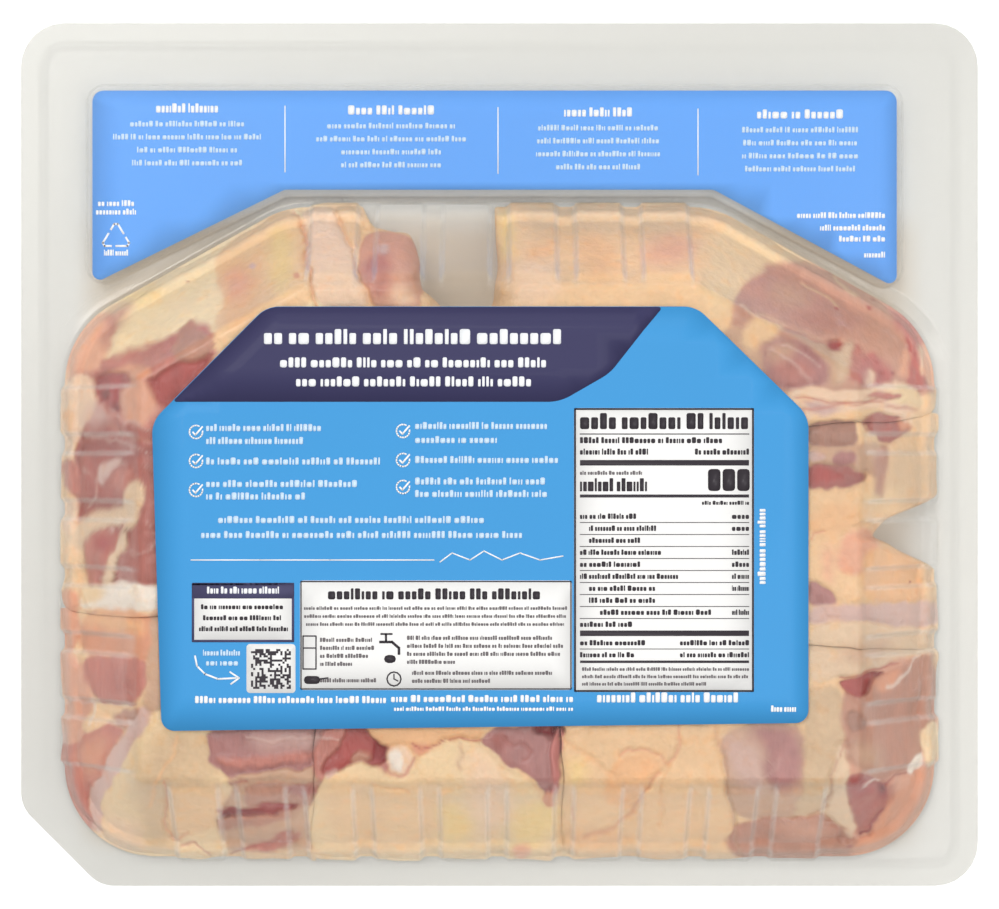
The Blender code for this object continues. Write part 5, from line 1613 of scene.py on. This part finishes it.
def build_stage(settings):
    """White floor, soft light from all round and the straight-down view."""
    scene = bpy.context.scene
    corners = np.array([(-1, -1, 0), (1, -1, 0), (1, 1, 0), (-1, 1, 0)]) * FLOOR_REACH - (0, 0, FLOOR_GAP)
    mesh = make_mesh("studio_floor", corners, [np.array([[0, 1, 2, 3]])], smooth=False)
    floor = bpy.data.objects.new("studio_floor", mesh)
    scene.collection.objects.link(floor)
    sheet = Sheet("studio_floor")
    white = sheet.node("BsdfPrincipled", None, {
        "Base Color": (0.93, 0.93, 0.93, 1), "Roughness": 0.9,
        "Emission Color": (1, 1, 1, 1), "Emission Strength": 0.22,
    })
    mesh.materials.append(sheet.finish(white))

    world = bpy.data.worlds.new("studio")
    scene.world = world
    world.use_nodes = True
    tree = world.node_tree
    direction = tree.nodes.new("ShaderNodeTexCoord")
    split = tree.nodes.new("ShaderNodeSeparateXYZ")
    height = tree.nodes.new("ShaderNodeMapRange")
    height.interpolation_type = "SMOOTHSTEP"
    ramp = {"From Min": 0.5, "From Max": 0.92, "To Min": settings.ambient, "To Max": ZENITH_LIGHT}
    for socket, value in ramp.items():
        height.inputs[socket].default_value = value
    background = tree.nodes["Background"]
    background.inputs["Color"].default_value = (1, 1, 1, 1)
    tree.links.new(direction.outputs["Generated"], split.inputs[0])
    tree.links.new(split.outputs["Z"], height.inputs["Value"])
    tree.links.new(height.outputs[0], background.inputs["Strength"])

    for name, place, size, power in LAMPS:
        light = bpy.data.lights.new(name, "AREA")
        light.size = size
        light.energy = power * settings.light
        lamp = bpy.data.objects.new(name, light)
        lamp.location = place
        lamp.rotation_euler = (-Vector(place)).to_track_quat("-Z", "Y").to_euler()
        scene.collection.objects.link(lamp)

    camera = bpy.data.cameras.new("top_view")
    camera.sensor_width = SENSOR_WIDTH
    camera.lens = SENSOR_WIDTH * VIEW_HEIGHT / (PLAN_SIZE[0] * UNIT)
    eye = bpy.data.objects.new("top_view", camera)
    eye.location = (0, 0, (VIEW_HEIGHT + FLANGE_TOP) * MM)
    scene.collection.objects.link(eye)
    scene.camera = eye
    scene.view_settings.view_transform = "Standard"
    scene.cycles.transparent_max_bounces = 24
    scene.cycles.max_bounces = 4
    scene.cycles.diffuse_bounces = 2
    scene.cycles.glossy_bounces = 1


class TrayPackSettings(bpy.types.PropertyGroup):
    """Sizes and light that can be changed before the pack is built."""

    rib_depth: FloatProperty(name="Rib depth", description="How far the ribs stand out of the wall, in mm",
                             default=RIB_DEPTH, min=0.0, max=3.0)
    wall: FloatProperty(name="Wall", description="Thickness of the clear sheet", default=0.00035,
                        min=0.0001, max=0.001, unit="LENGTH", precision=5)
    ambient: FloatProperty(name="Ambient", description="Brightness of the studio all round", default=0.55,
                           min=0.0, max=4.0)
    light: FloatProperty(name="Lamps", description="Strength of the soft lamps", default=1.0,
                         min=0.0, max=10.0)


class TRAYPACK_OT_tray(bpy.types.Operator):
    """Builds the clear tray and finishes its film"""

    bl_idname = "traypack.tray"
    bl_label = "Clear tray and film"

    def execute(self, context):
        build_tray(context.scene.tray_pack)
        build_film()
        return {"FINISHED"}


class TRAYPACK_OT_thighs(bpy.types.Operator):
    """Builds the six thighs pressed against the tray"""

    bl_idname = "traypack.thighs"
    bl_label = "Chicken thighs"

    def execute(self, context):
        build_thighs()
        return {"FINISHED"}


class TRAYPACK_OT_header_card(bpy.types.Operator):
    """Builds the header card and its print"""

    bl_idname = "traypack.header_card"
    bl_label = "Header card"

    def execute(self, context):
        build_header_card()
        return {"FINISHED"}


class TRAYPACK_OT_label(bpy.types.Operator):
    """Builds the label, its coloured fields and its print"""

    bl_idname = "traypack.label"
    bl_label = "Label"

    def execute(self, context):
        build_label()
        build_label_print()
        return {"FINISHED"}


class TRAYPACK_OT_stage(bpy.types.Operator):
    """Builds the floor, the lamps and the camera"""

    bl_idname = "traypack.stage"
    bl_label = "Stage"

    def execute(self, context):
        build_stage(context.scene.tray_pack)
        return {"FINISHED"}


OPERATORS = (TRAYPACK_OT_tray, TRAYPACK_OT_thighs, TRAYPACK_OT_header_card, TRAYPACK_OT_label,
             TRAYPACK_OT_stage)


class TRAYPACK_PT_panel(bpy.types.Panel):
    """Lists the pack's settings and the buttons that build it"""

    bl_idname = "TRAYPACK_PT_panel"
    bl_label = "Tray Pack"
    bl_space_type = "VIEW_3D"
    bl_region_type = "UI"
    bl_category = "Tray Pack"

    def draw(self, context):
        for name in TrayPackSettings.__annotations__:
            self.layout.prop(context.scene.tray_pack, name)
        for operator in OPERATORS:
            self.layout.operator(operator.bl_idname)


CLASSES = (TrayPackSettings, *OPERATORS, TRAYPACK_PT_panel)


def register():
    """Adds the settings, the operators and the panel."""
    for item in CLASSES:
        bpy.utils.register_class(item)
    bpy.types.Scene.tray_pack = PointerProperty(type=TrayPackSettings)


def unregister():
    """Takes them out again."""
    del bpy.types.Scene.tray_pack
    for item in reversed(CLASSES):
        bpy.utils.unregister_class(item)


def main():
    """Builds everything."""
    register()
    for operator in OPERATORS:
        group, name = operator.bl_idname.split(".")
        getattr(getattr(bpy.ops, group), name)()


if __name__ == "__main__":
    main()
